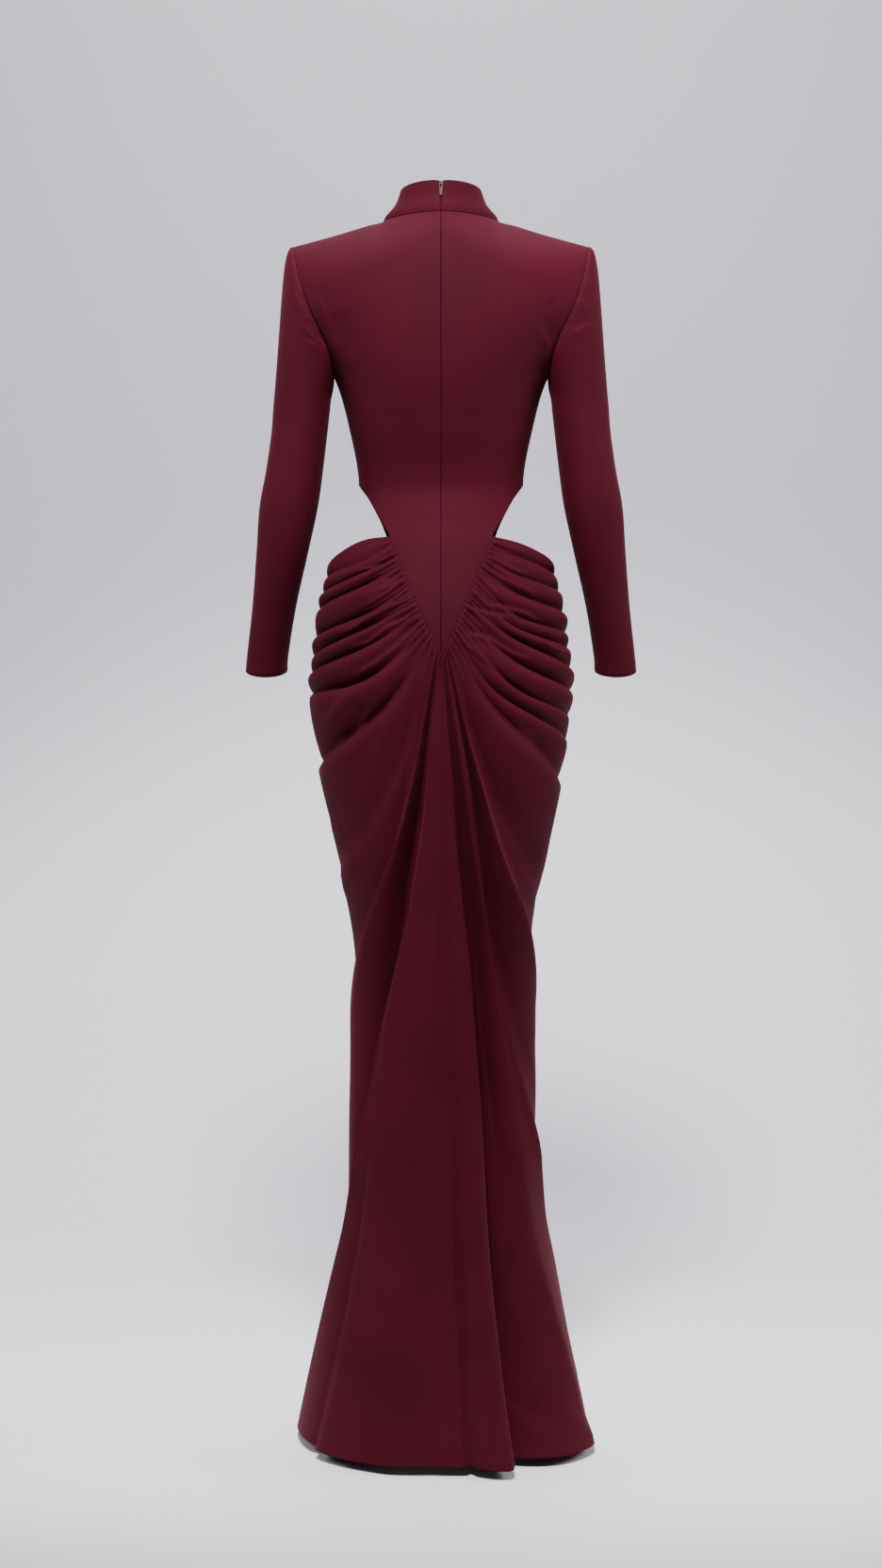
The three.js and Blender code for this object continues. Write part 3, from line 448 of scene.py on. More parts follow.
# Creases that the arms' pull leaves near the armholes, as rows of width, valley, ridge and line.
BACK_DRAG = [
    [5, 1.5, 0.8, [[151, -62], [144, -82], [139, -103], [134, -132]]],
    [9, 1.2, 0.3, [[138, -96], [128, -118], [121, -150]]],
    [4.5, 1.5, 0.8, [[-144, -72], [-141, -90], [-139, -110], [-136, -132]]],
    [4, 1.4, 0.9, [[-121, -104], [-129, -114], [-135, -126]]],
    [5, 1.3, 0.6, [[-136, -128], [-131, -142], [-128, -172]]],
]
SLEEVE_DRAG = [
    [4, 1.5, 1.2, [[178, -60], [170, -86], [158, -108], [143, -131]]],
    [3.5, 1.3, 1, [[170, -98], [160, -114], [146, -128]]],
    [3, 1.3, 0.9, [[167, -120], [158, -124], [147, -134]]],
    [5, 1.1, 0.6, [[-164, -70], [-176, -73], [-186, -82]]],
    [5, 1.2, 0.8, [[-186, -98], [-172, -106], [-156, -112]]],
]


def with_creases(grid, facing, creases, loop=False):
    return grid + normals_of(grid, facing, loop) * crease_height(grid, creases)[..., None]


def back_grid(sign):
    return with_creases(bodice_grid(BACK_LEVELS, SHARES, 1, sign), sign, BACK_DRAG)


SIDES_AND_TOP = ("first_column", "last_column", "first_row")
back_left = shell("back_left_cloth", back_grid(1), BODICE_WALL, 1, CREPE)
back_right = shell("back_right_cloth", back_grid(-1), BODICE_WALL, -1, CREPE)
front_left = bodice_grid(FRONT_LEVELS, FRONT_SHARES, -1, 1)
front_right = bodice_grid(FRONT_LEVELS, FRONT_SHARES[1:][::-1], -1, -1)
front_grid = tuck_all(np.concatenate([front_right, front_left], 1), -1, SIDES_AND_TOP)
front = shell("front_cloth", front_grid, BODICE_WALL, -1, CREPE)
cloth_piece(back_left, "back_left")
cloth_piece(back_right, "back_right")
cloth_piece(front, "front")

# Collar
COLLAR_TOP = {"half": 51, "depth": 52, "y": -6, "z": 68, "tilt": 9}
COLLAR_RISE = table(
    ["up", "inward"], [[0, 0], [0.17, 0.12], [0.35, 0.42], [0.52, 0.66], [0.76, 0.86], [1, 1]]
)
CORNER_DROP = 1.6  # the two top corners at the zip are rounded down by this much


def neck_edge(side, sign):
    return bodice_grid([0], NECK_SHARES, side, sign)[0]


def neck_ring():
    """The neck edge all the way round, from one side of the zip to the other."""
    left = [neck_edge(1, 1), neck_edge(-1, 1)[:-1][::-1]]
    right = [neck_edge(-1, -1)[1:-1], neck_edge(1, -1)[::-1]]
    return np.concatenate([*left, *right])


def collar_grid(rises):
    base = neck_ring()
    turn = 2 * math.pi * np.arange(len(base)) / (len(base) - 1)
    top = np.stack([
        COLLAR_TOP["half"] * np.sin(turn) + ZIP_HALF_GAP * np.cos(turn / 2),
        COLLAR_TOP["y"] + COLLAR_TOP["depth"] * np.cos(turn),
        COLLAR_TOP["z"] + COLLAR_TOP["tilt"] * np.cos(turn),
    ], -1)
    grid = []
    for up in rises:
        row = lerp(base, top, smooth(COLLAR_RISE["up"], COLLAR_RISE["inward"], up))
        row[:, 2] = lerp(base[:, 2] + 2 * SEAM_GAP, top[:, 2], up)
        near = np.minimum(np.arange(len(base)), np.arange(len(base))[::-1])
        row[:, 2] -= CORNER_DROP * np.exp(-near * 0.9) * smoothstep(up, 0.9, 1)
        grid.append(row)
    return np.array(grid)


collar_tucked = tuck(collar_grid(dense(COLLAR_RISE["up"], 6)), -1, "first_row", 2, 1.6)
collar = shell("collar_cloth", collar_tucked, COLLAR_WALL, -1, CREPE)
cloth_piece(collar, "collar")

# Sleeves
ARM = table(
    ["z", "x", "y", "half", "depth", "tilt"],
    [
        [-200, 175, 3, 36, 47, 0],
        [-232, 178, 5, 35.4, 45, 0],
        [-278, 184, 7, 36, 43, 3],
        [-324, 191.5, 7, 37, 41.5, 8],
        [-380, 200, 0, 33, 37, 13],
        [-451, 212, -20, 28, 32, 16],
        [-515, 222, -41, 26.6, 28.5, 17],
        [-532, 223.5, -46, 27, 28.5, 17],
    ],
)
ARM_LEVELS = [-200, -232, -262, -292, -322, -352, -385, -420, -460, -497, -532]
HEAD_STEPS = [0, 0.08, 0.18, 0.32, 0.5, 0.75]


def arm_point(turn, z):
    tilt = np.radians(smooth(ARM["z"], ARM["tilt"], z))
    depth = smooth(ARM["z"], ARM["depth"], z) * np.sin(turn)
    x = smooth(ARM["z"], ARM["x"], z) + smooth(ARM["z"], ARM["half"], z) * np.cos(turn)
    y = smooth(ARM["z"], ARM["y"], z) + depth * np.cos(tilt)
    return np.stack([x, y, z - depth * np.sin(tilt)], -1)


def armhole_point(turn):
    z = (UNDERARM_Z / 2) * (1 - np.cos(turn))
    x = smooth(ARMHOLE["z"], ARMHOLE["x"], z)
    behind, before = bodice_point(x, z, 1), bodice_point(x, z, -1)
    points = np.where((np.sin(turn) >= 0)[..., None], behind, before)
    points[..., 0] = x + SEAM_GAP
    return points


def sleeve_head(turn, step):
    """A curve from the armhole to the top of the arm, rounded over the shoulder."""
    c, s = np.cos(turn), np.sin(turn)
    start, end = armhole_point(turn), arm_point(turn, np.full_like(turn, ARM_LEVELS[0]))
    leave = np.stack([8 + 8 * c, 4 * s, -7 + 9 * c], -1)
    arrive = np.stack([-13 * np.maximum(c, 0), 0 * c, 12 + 128 * (1 + c) / 2], -1)
    t = step[..., None]
    return (
        (1 - t) ** 3 * start + 3 * (1 - t) ** 2 * t * (start + leave)
        + 3 * (1 - t) * t * t * (end + arrive) + t ** 3 * end
    )


def sleeve_grid(sign, sides=150):
    turns = 2 * math.pi * np.arange(sides) / sides
    head = [sleeve_head(turns, np.full(sides, step)) for step in dense([*HEAD_STEPS, 1], 12)[:-1]]
    arm = [arm_point(turns, np.full(sides, level)) for level in dense(ARM_LEVELS, 7)]
    grid = np.array([*head, *arm])
    grid[..., 0] *= sign
    return tuck(with_creases(grid, -sign, SLEEVE_DRAG, loop=True), -sign, "first_row")


sleeve_left = shell("sleeve_left_cloth", sleeve_grid(1), SLEEVE_WALL, -1, CREPE, loop=True)
sleeve_right = shell("sleeve_right_cloth", sleeve_grid(-1), SLEEVE_WALL, 1, CREPE, loop=True)
cloth_piece(sleeve_left, "sleeve_left")
cloth_piece(sleeve_right, "sleeve_right")


# Skirt
def form_place(turn, z):
    """A place on the skirt's form at a turn in degrees from the centre back, and the level way out of it."""
    turn, z = np.broadcast_arrays(np.asarray(turn, float), np.asarray(z, float))
    power, half = form_at("power", z), form_at("half", z)
    s, c = np.sin(np.radians(turn)), np.cos(np.radians(turn))
    depth = np.where(c >= 0, form_at("back", z), form_at("front", z))
    reach = ((np.abs(s) / half) ** power + (np.abs(c) / depth) ** power) ** (-1 / power)
    x, y = reach * s, reach * c
    outward = np.stack([
        np.sign(x) * (np.abs(x) / half) ** (power - 1) / half,
        np.sign(y) * (np.abs(y) / depth) ** (power - 1) / depth,
        0 * z,
    ], -1)
    outward /= np.linalg.norm(outward, axis=-1, keepdims=True)
    return np.stack([x + form_at("lean", z), y, z], -1), outward


def turn_of(x, z):
    """The turn of a place on the back of the form."""
    power = form_at("power", z)
    across = x - form_at("lean", z)
    share = np.minimum(np.abs(across) / form_at("half", z), 1)
    y = form_at("back", z) * (1 - share ** power) ** (1 / power)
    return np.degrees(np.arctan2(across, y))


TO_SIDE, TO_HEM = 0, 1
# A row for each fold line, from one side seam round behind to the other. Seam is its start, as a share
# down the pointed seam. It runs through x1, z1 and x2, z2, as seen from behind, to the side seam at the
# height end or to the hem at the x end. Lifts and bulges are how far the cloth stands off along it.
# The three rows with a lift1 of -18 or less are valleys, deeper here than in the solids.
FOLDS = table(
    ["seam", "x1", "z1", "x2", "z2", "goes", "end", "lift1", "lift2", "lift3", "bulge1", "bulge2", "bulge3"],
    [
        [0, 97, -368, 139, -394, TO_SIDE, -392, 1, 2, 1, 4, 4, 0],
        [0.08, 94, -394, 144, -415, TO_SIDE, -420, 1, 0, 1, 6, 4, 0],
        [0.16, 84, -403, 146, -431, TO_SIDE, -437, 1, 0, 1, 7, 7, 0],
        [0.23, 102, -427, 152, -454, TO_SIDE, -461, 1, 0, 1, 10, 6, 0],
        [0.39, 93, -459, 158, -491, TO_SIDE, -500, 0, -1, 1, 9, 7, 0],
        [0.52, 100, -480, 161, -516, TO_SIDE, -524, 0, -1, 1, 10, 5, 0],
        [0.62, 100, -503, 164, -537, TO_SIDE, -545, 0, 0, 1, 11, 7, 0],
        [0.73, 96, -541, 163, -560, TO_SIDE, -568, 0, 0, 1, 15, 4, 0],
        [0.82, 78, -582, 150, -641, TO_SIDE, -655, 0, -1, 1, 12, 9, 0],
        [0.86, 49, -640, 104, -745, TO_SIDE, -800, 4, 2, 1, 4, 3, 0],
        [0.9, 38, -661, 76, -801, TO_SIDE, -975, 3, 0, 1, 0, 0, 0],
        [0.925, 39, -690, 76, -813, TO_SIDE, -1080, 13, 15, 1, 0, 0, 0],
        [0.945, 29, -700, 66, -884, TO_SIDE, HEM_Z, -20, -28, 1, 0, -2, 0],
        [0.962, 22, -731, 66, -978, TO_HEM, 186, 11, 18, 4, 0, 0, 0],
        [0.976, 20, -731, 62, -982, TO_HEM, 165, 12, 21, -10, 0, 1, 9],
        [0.988, 11, -755, 30, -966, TO_HEM, 72, 13, 22, 8, 0, 0, 1],
        [1, 0, -755, 8, -966, TO_HEM, 14, 12, 19, 6, 0, 0, 0],
        [0.99, -5, -755, -13, -990, TO_HEM, -36, 11, 16, 9, 1, 4, 24],
        [0.98, -16, -720, -34, -931, TO_HEM, -88, 14, 26, 9, -3, -8, -2],
        [0.968, -22, -735, -42, -940, TO_HEM, -96, -22, -32, -24, 0, 0, -3],
        [0.957, -29, -720, -53, -960, TO_HEM, -138, -6, -10, 5, 1, 3, 4],
        [0.946, -33, -706, -66, -960, TO_HEM, -180, 9, 15, 14, 0, 0, 0],
        [0.935, -37, -700, -71, -955, TO_SIDE, HEM_Z, 10, 16, 1, -1, -2, 0],
        [0.92, -43, -690, -70, -850, TO_SIDE, -1180, -18, -22, 1, 0, 0, 0],
        [0.9, -51, -680, -86, -800, TO_SIDE, -1030, 11, 13, 1, -2, -3, 0],
        [0.87, -60, -668, -104, -765, TO_SIDE, -850, -4, -4, 1, 12, 11, 0],
        [0.83, -73, -582, -148, -664, TO_SIDE, -675, 1, -1, 1, 7, 4, 0],
        [0.77, -70, -556, -160, -622, TO_SIDE, -632, 0, 1, 1, 8, 3, 0],
        [0.7, -97, -553, -163, -589, TO_SIDE, -597, 1, -1, 1, 11, 6, 0],
        [0.61, -97, -521, -165, -559, TO_SIDE, -566, 0, -1, 1, 9, 8, 0],
        [0.52, -97, -493, -164, -531, TO_SIDE, -538, 0, 0, 1, 10, 5, 0],
        [0.43, -97, -478, -161, -503, TO_SIDE, -511, 0, 0, 1, 6, 5, 0],
        [0.34, -97, -463, -158, -484, TO_SIDE, -492, 0, 0, 1, 9, 7, 0],
        [0.25, -97, -436, -153, -458, TO_SIDE, -466, 0, 0, 1, 8, 5, 0],
        [0.17, -97, -413, -147, -430, TO_SIDE, -437, 1, 0, 1, 7, 4, 0],
        [0.08, -97, -390, -143, -412, TO_SIDE, -416, 1, 0, 1, 6, 4, 0],
        [0, -97, -371, -139, -393, TO_SIDE, -392, 1, 2, 1, 0, 0, 0],
    ],
)
MIDDLE = int(np.argmax(FOLDS["seam"]))
LEDGE = 4  # how fast each ridge rises below its line
POCKET = 0.3  # how far the cloth dips behind each ridge, as a share of the ridge's height
CLIFF = 2.6  # above 1, cloth drops steeply beside a crest that has a valley outside it
SEAM_CLEAR = 0.9  # how far below the pointed panel's tip the skirt starts
PANEL_CLEAR = 0.4  # how far beside the pointed panel it starts
GATHER_LIFT = 0.6
SEAM_BULGES = (0.3, 0.8)  # how full each fold is at the seam, and soon after it
TURN_SPAN = 2.2  # about how many mm across the form a degree of turn is


def seam_place(share, sign, under=0, rise=0):
    """Turn and height of a place on the pointed seam, or that far under the pointed panel."""
    z = lerp(CUTOUT_FOOT_Z, POINT_Z - SEAM_CLEAR, share) + rise
    beside = np.maximum(lerp(CUTOUT_FOOT_HALF, 0, share) + PANEL_CLEAR - under, 0)
    return turn_of(sign * np.where(share >= 1, 0, beside), z), z


def fold_line(i, v):
    """Turn, height, lift and bulge along one fold line."""
    f = {key: values[i] for key, values in FOLDS.items()}
    sign = 1 if i <= MIDDLE else -1
    start, top = seam_place(f["seam"], sign)
    sided = f["goes"] == TO_SIDE
    turns = np.array([start, turn_of(f["x1"], f["z1"]), turn_of(f["x2"], f["z2"]),
                      sign * SIDE_SEAM_TURN if sided else turn_of(f["end"], HEM_Z)])
    heights = np.array([top, f["z1"], f["z2"], f["end"] if sided else HEM_Z])
    knots = np.concatenate([[0], np.cumsum(np.hypot(np.diff(turns) * TURN_SPAN, np.diff(heights)))])
    along = knots / knots[-1]
    lifts = np.array([GATHER_LIFT, f["lift1"], f["lift2"], f["lift3"]])
    bulges = np.array([*SEAM_BULGES, f["bulge1"], f["bulge2"], f["bulge3"]])
    bulge_along = np.array([0, 0.3 * along[1], *along[1:]])
    line = [smooth(along, values, v) for values in (turns, heights, lifts)]
    return *line, smooth(bulge_along, bulges, v)


# The gathers at the pointed seam, to the left and right of it: the share down the seam, and the length.
GATHERS = {
    1: np.array([
        (0, 12), (0.03, 25), (0.07, 42), (0.12, 18), (0.16, 30), (0.21, 55), (0.24, 18), (0.28, 45),
        (0.33, 28), (0.37, 60), (0.4, 20), (0.44, 50), (0.5, 30), (0.53, 55), (0.575, 20), (0.61, 45),
        (0.67, 30), (0.71, 18), (0.75, 55), (0.8, 24), (0.84, 35), (0.89, 26), (0.95, 30), (1, 10),
    ]),
    -1: np.array([
        (0, 12), (0.025, 20), (0.07, 45), (0.1, 22), (0.14, 35), (0.175, 16), (0.21, 50), (0.26, 24),
        (0.29, 18), (0.34, 45), (0.38, 25), (0.41, 55), (0.47, 28), (0.5, 20), (0.53, 50), (0.58, 24),
        (0.62, 40), (0.66, 20), (0.69, 55), (0.73, 22), (0.77, 40), (0.82, 24), (0.85, 45), (0.89, 20),
        (0.92, 30), (0.96, 25), (1, 10),
    ]),
}
GATHER_RISE = 4.4
FULL_GATHER = 0.045  # a gather over less of the seam than this is lower


def gather_rise(share, sign, distance):
    """How far the gathers stand off, at a share of the pointed seam and a distance from it."""
    at, length = GATHERS[sign].T
    k = int(np.clip(np.searchsorted(at, share, side="right") - 1, 0, len(at) - 2))
    u = (share - at[k]) / (at[k + 1] - at[k])
    size = min(1, (at[k + 1] - at[k]) / FULL_GATHER) * (0.8 + 0.2 * math.sin(2.4 * k))
    fading = np.exp(-((distance / lerp(length[k], length[k + 1], u)) ** 1.6))
    return GATHER_RISE * size * math.sin(math.pi * u ** 0.65) * smoothstep(distance, -3, 5) * fading


SEAM_COLUMNS = 150
FEWEST_COLUMNS = 9
POCKET_BELOW, POCKET_ABOVE = 2, 6  # how far the dips on the two sides of a ridge reach
GROOVE_DEPTH, GROOVE_REACH = 1.6, 2.5  # the seam pulls the skirt in beside the pointed panel
TUCK_UNDER, TUCK_RISE, TUCK_DEPTH = 2.8, 1.2, 3  # where the skirt's edge ends under that panel


def skirt_back_grid(along):
    """The outside of the back skirt, with its edge tucked under, and the level direction off it."""
    lines = np.array([fold_line(i, along) for i in range(len(FOLDS["seam"]))])
    places = form_place(lines[:, 0], lines[:, 1])[0]
    heading = np.gradient(places, axis=1)
    heading /= np.linalg.norm(heading, axis=-1, keepdims=True)
    columns, lifts, shares, signs = [], [], [], []
    for i in range(len(lines) - 1):
        sign = 1 if i < MIDDLE else -1
        width = np.linalg.norm(np.cross(places[i + 1] - places[i], heading[i]), axis=-1)
        ends = FOLDS["seam"][i:i + 2]
        steps = max(FEWEST_COLUMNS, math.ceil(abs(ends[1] - ends[0]) * SEAM_COLUMNS))
        last = [1] if i == len(lines) - 2 else []
        for between in [*(np.arange(steps) / steps), *last]:
            columns.append(lerp(lines[i][:2], lines[i + 1][:2], between))
            below = between if sign > 0 else 1 - between
            ledge = 1 - np.exp(-below * width / LEDGE)
            dips = np.exp(-below * width / POCKET_BELOW) + np.exp((below - 1) * width / POCKET_ABOVE)
            bulge = ledge * math.cos(math.pi / 2 * below) ** 0.8 - POCKET * dips
            inner, outer = lines[i + 1][2], lines[i][2]
            if sign < 0:
                inner, outer = outer, inner
            out = 1 - below
            eased = np.where(inner > outer, 1 - (1 - out) ** CLIFF, out * (1.4 - 0.4 * out))
            lifts.append(lerp(inner, outer, eased) + lines[i][3] * bulge)
            shares.append(lerp(*ends, between))
            signs.append(sign)
    columns, lifts = np.array(columns), np.array(lifts)
    flat, outward = form_place(columns[:, 0], columns[:, 1])
    steps = np.linalg.norm(np.diff(flat, axis=1), axis=-1)
    distance = np.concatenate([np.zeros((len(flat), 1)), np.cumsum(steps, 1)], 1)
    for c, (share, sign) in enumerate(zip(shares, signs)):
        groove = GROOVE_DEPTH * np.exp(-((distance[c] / GROOVE_REACH) ** 2))
        lifts[c] += gather_rise(share, sign, distance[c]) - groove
    lifts += crease_height(flat, CREASES)
    grid = flat + outward * lifts[..., None]
    turn, z = seam_place(np.array(shares), np.array(signs), TUCK_UNDER, TUCK_RISE)
    under, under_outward = form_place(turn, z)
    grid = np.concatenate([(under - under_outward * TUCK_DEPTH)[:, None], grid], 1)
    outward = np.concatenate([under_outward[:, None], outward], 1)
    return grid.transpose(1, 0, 2), outward.transpose(1, 0, 2)


ALONG = dense([
    0, 0.004, 0.01, 0.02, 0.035, 0.055, 0.08, 0.11, 0.15, 0.2, 0.27,
    0.35, 0.43, 0.52, 0.61, 0.7, 0.78, 0.86, 0.93, 0.985, 1,
], 5)
# Each crease: its width, its valley's depth, its ridge's height, and its line of x and z seen from behind.
CREASES = [
    [2.5, 2, 1.5, [[43, -415], [55, -420], [67, -425], [78, -431]]],
    [2.2, 1.8, 1.2, [[52, -392], [70, -399], [86, -402], [104, -405]]],
    [2.5, 1.6, 1.2, [[60, -417], [82, -421], [104, -436], [120, -440]]],
    [2, 2, 1.2, [[34, -437], [47, -445]]],
    [3, 2.2, 1.6, [[46, -444], [74, -452], [104, -474], [124, -484]]],
    [3, 2, 1.5, [[36, -462], [66, -474], [88, -493], [112, -500]]],
    [3.5, 2.4, 1.8, [[24, -470], [52, -496], [80, -518], [108, -536]]],
    [5, 2.8, 1, [[107, -554], [125, -572], [134, -586], [138, -596]]],
    [6, 3, 1.2, [[84, -571], [96, -591], [108, -609], [126, -629]]],
    [5, 2, 1.2, [[40, -540], [58, -575], [74, -612], [90, -640]]],
    [5, 1.8, 1, [[115, -696], [122, -726], [121, -745]]],
    [6, -1.8, 0, [[97, -753], [105, -779], [113, -799], [118, -825]]],
    [4, 2.2, 1, [[-55, -385], [-73, -393], [-90, -404], [-108, -411]]],
    [2.5, 1.8, 1.2, [[-52, -401], [-70, -412], [-92, -422], [-116, -436]]],
    [2.5, 2.2, 1.4, [[-28, -448], [-43, -454], [-61, -459], [-84, -463]]],
    [3, 2, 1.4, [[-52, -446], [-80, -451], [-104, -458], [-122, -470]]],
    [3, 2.2, 1.5, [[-119, -489], [-144, -504], [-160, -507]]],
    [3, 2, 1.5, [[-30, -482], [-58, -488], [-86, -506], [-112, -516]]],
    [5, -2.4, 0, [[-17, -490], [-34, -505], [-55, -522], [-90, -548], [-125, -573], [-159, -591]]],
    [7, 2.6, 1, [[-96, -597], [-114, -620], [-126, -639]]],
    [9, 3, 1.5, [[-24, -573], [-56, -666], [-85, -725], [-116, -783], [-124, -809]]],
    [6, -2, 0, [[-99, -709], [-108, -734], [-119, -769], [-126, -800]]],
    [4, 1.8, 1.2, [[-85, -806], [-97, -819], [-112, -821]]],
    [7, 2.4, 1, [[-68, -866], [-78, -903], [-88, -951], [-97, -993]]],
    [4, -1.6, 0, [[60, -960], [79, -1055], [103, -1177], [113, -1246]]],
    [4, -1.6, 0, [[-61, -936], [-76, -999], [-88, -1052], [-100, -1099], [-112, -1141], [-127, -1196]]],
    [6, 2.5, 0, [[21, -535], [26, -571], [32, -619], [41, -677], [49, -713], [58, -748]]],
    [9, 2, 0, [[-15, -1214], [-20, -1327], [-28, -1418], [-34, -1484]]],
    [6, 3, 2, [[-84, -1433], [-108, -1453], [-144, -1478]]],
    [6, 2.6, 2, [[-144, -1435], [-163, -1469], [-183, -1499]]],
]
skirt_grid, skirt_outward = skirt_back_grid(ALONG)
skirt_back = shell("skirt_back_cloth", skirt_grid, SKIRT_WALL, -1, CREPE)
cloth_piece(skirt_back, "skirt_back")


SIDE_CLEAR_TURN = 0.4  # leaves the side seam's gap
LEVEL_TOP_TURN = 30  # this near the centre front, the top edge follows the bodice
FLARE_TOP_Z = -1050
FLUTE_RISE, FLUTES = 7, 5


def front_skirt_grid(rows, columns):
    """The outside of the front skirt and the level direction off it."""
    span = 180 - SIDE_SEAM_TURN - SIDE_CLEAR_TURN
    turns = np.linspace(180 + span, 180 - span, columns)
    down, turn = np.meshgrid(np.linspace(0, 1, rows), turns, indexing="ij")
    away = np.abs(180 - turn)
    inner = smoothstep(away, LEVEL_TOP_TURN, 180 - SIDE_SEAM_TURN)
    x = form_place(turn, FRONT_FOOT_Z)[0][..., 0]
    seam_x = np.minimum(np.abs(x) / FRONT_FOOT_HALF, 1)
    seam = FRONT_FOOT_Z - FRONT_DIP * (1 - seam_x * seam_x) - 2 * SEAM_GAP
    z = lerp(lerp(seam, SIDE_TOP_Z, inner), HEM_Z, down)
    share = away / (180 - SIDE_SEAM_TURN)
    opening = smoothstep(FLARE_TOP_Z - z, 0, FLARE_TOP_Z - HEM_Z) * (1 - share ** 4)
    flute = FLUTE_RISE * opening * np.cos(math.pi * FLUTES * (share - 1))
    point, outward = form_place(turn, z)
    return point + outward * (1 + flute)[..., None], outward


front_skirt, front_skirt_outward = front_skirt_grid(160, 90)
front_skirt_tucked = tuck_all(front_skirt, -1, SIDES_AND_TOP)
skirt_front = shell("skirt_front_cloth", front_skirt_tucked, SKIRT_WALL, -1, CREPE)
cloth_piece(skirt_front, "skirt_front")


# Zip
TAPE_HALF = 6
TAPE_WALL = 0.8
TAPE_CLEAR = 1.1  # between the cloth's inside and the middle of the tape's outer face
TAPE_FOLD = 1.1  # how much further in the tape's edges lie


def zip_line():
    """The middle of the zip tape from the collar down, and the way out of the cloth there."""
    rises = dense(COLLAR_RISE["up"][:-1][::-1], 6)
    upper = collar_grid(rises)[:, 0]
    lower = bodice_grid([level for level in BACK_LEVELS[6:] if level >= ZIP_FOOT_Z], [0], 1, 1)[:, 0]
    line = np.concatenate([upper, lower])
    walls = np.concatenate([np.full(len(upper), COLLAR_WALL), np.full(len(lower), BODICE_WALL)])
    offsets = walls + TAPE_CLEAR
    line[:, 0] = 0
    down = np.gradient(line, axis=0)
    down /= np.linalg.norm(down, axis=1, keepdims=True)
    outward = np.stack([0 * down[:, 0], -down[:, 2], down[:, 1]], -1)
    return line - outward * offsets[:, None], outward


zip_centre, zip_outward = zip_line()
strip = np.linspace(-1, 1, 13)
across_tape = np.stack([TAPE_HALF * strip, -TAPE_FOLD * np.abs(strip), 0 * strip], -1)
# The tape's colour holds painted shade for the seam's gap.
tape = shell("zip_tape_cloth", zip_centre[:, None] + across_tape[None], TAPE_WALL, 1, ZIP_TAPE_WITH_PAINTED_SHADE)
cloth_piece(tape, "zip_tape")
for name in ("zip_slider", "zip_pull_tab"):
    node = bpy.data.objects[name]
    for slot in node.material_slots:
        slot.material = ENAMEL

# Stitches: small elongated beads half sunk in the cloth, a pitch apart along a line on its outside.
STITCH = {"pitch": 3.0, "long": 2.2, "half": 0.2, "proud": 0.08}
HEM_STITCH_LEVELS = (HEM_Z + 11, HEM_Z + 14)
CUFF_STITCH_Z = -521
POINT_STITCH_INSET = 4.3
POINT_STITCH_TOP, POINT_STITCH_FOOT = -303, -506
COIL = {"pitch": 1.4, "half": 1.5, "thick": 0.45, "long": 3.4, "proud": 0.35, "ends": 4}


def bead(centre, ahead, outward, half_long, half):
    """The six corners of an elongated bead, and its eight faces."""
    across = np.cross(ahead, outward)
    corners = [centre + ahead * half_long, centre - ahead * half_long]
    corners += [centre + way * half * sign for way in (across, outward) for sign in (1, -1)]
    ring = [2, 4, 3, 5]
    faces = [(end, *((a, b) if end else (b, a))) for end in (0, 1) for a, b in zip(ring, ring[1:] + ring[:1])]
    return corners, faces


def stitches(name, runs, pitch=STITCH["pitch"], long=STITCH["long"], half=STITCH["half"], material=THREAD):
    """One mesh of beads along runs of points, each run with the directions off the cloth."""
    points, faces = [], []
    for places, outward in runs:
        steps = np.linalg.norm(np.diff(places, axis=0), axis=1)
        reach = np.concatenate([[0], np.cumsum(steps)])
        for at in np.arange(pitch / 2, reach[-1], pitch):
            centre = np.array([np.interp(at, reach, places[:, k]) for k in range(3)])
            before = np.array([np.interp(at - 1, reach, places[:, k]) for k in range(3)])
            off = np.array([np.interp(at, reach, outward[:, k]) for k in range(3)])
            ahead = centre - before
            ahead /= np.linalg.norm(ahead)
            off -= ahead * off.dot(ahead)
            off /= np.linalg.norm(off)
            corners, sides = bead(centre + off * STITCH["proud"], ahead, off, long / 2, half)
            faces += [[len(points) + k for k in side] for side in sides]
            points += corners
    made = make_object(name, points, faces, material, smooth_shade=False)
    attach(made, "dress")


def at_level(grid, outward, z):
    """The line where the columns that reach the hem cross a level."""
    columns = [c for c in range(grid.shape[1]) if grid[-1, c, 2] < HEM_Z + 1]
    places, ways = [], []
    for c in columns:
        heights = grid[:, c, 2]
        r = int(np.nonzero(heights >= z)[0][-1])
        share = (heights[r] - z) / (heights[r] - heights[r + 1])
        places.append(lerp(grid[r, c], grid[r + 1, c], share))
        ways.append(outward[r, c])
    return np.array(places), np.array(ways)


def cuff_line(sign):
    turns = np.linspace(0, 2 * math.pi, 121)
    places = arm_point(turns, np.full(turns.shape, float(CUFF_STITCH_Z)))
    ways = places - places[:-1].mean(0)
    ways[:, 2] = 0
    return places * [sign, 1, 1], ways * [sign, 1, 1]


def point_edge_line(sign):
    """Along the cut-out and the pointed panel's edge, a little inside it."""
    levels = np.linspace(POINT_STITCH_TOP, POINT_STITCH_FOOT, 90)
    x = outer_edge(levels, 1) - POINT_STITCH_INSET
    places = bodice_point(x, levels, 1)
    across = bodice_point(x - 1, levels, 1) - places
    down = np.gradient(places, axis=0)
    ways = np.cross(across, down)
    ways *= np.sign(ways[:, 1:2])
    keep = x > 2
    return places[keep] * [sign, 1, 1], ways[keep] * [sign, 1, 1]


hem_runs = [at_level(skirt_grid, skirt_outward, z) for z in HEM_STITCH_LEVELS]
hem_runs += [at_level(front_skirt, front_skirt_outward, z) for z in HEM_STITCH_LEVELS]
stitches("hem_stitches", hem_runs)
stitches("cuff_stitches", [cuff_line(sign) for sign in (1, -1)])
stitches("point_stitches", [point_edge_line(sign) for sign in (1, -1)])

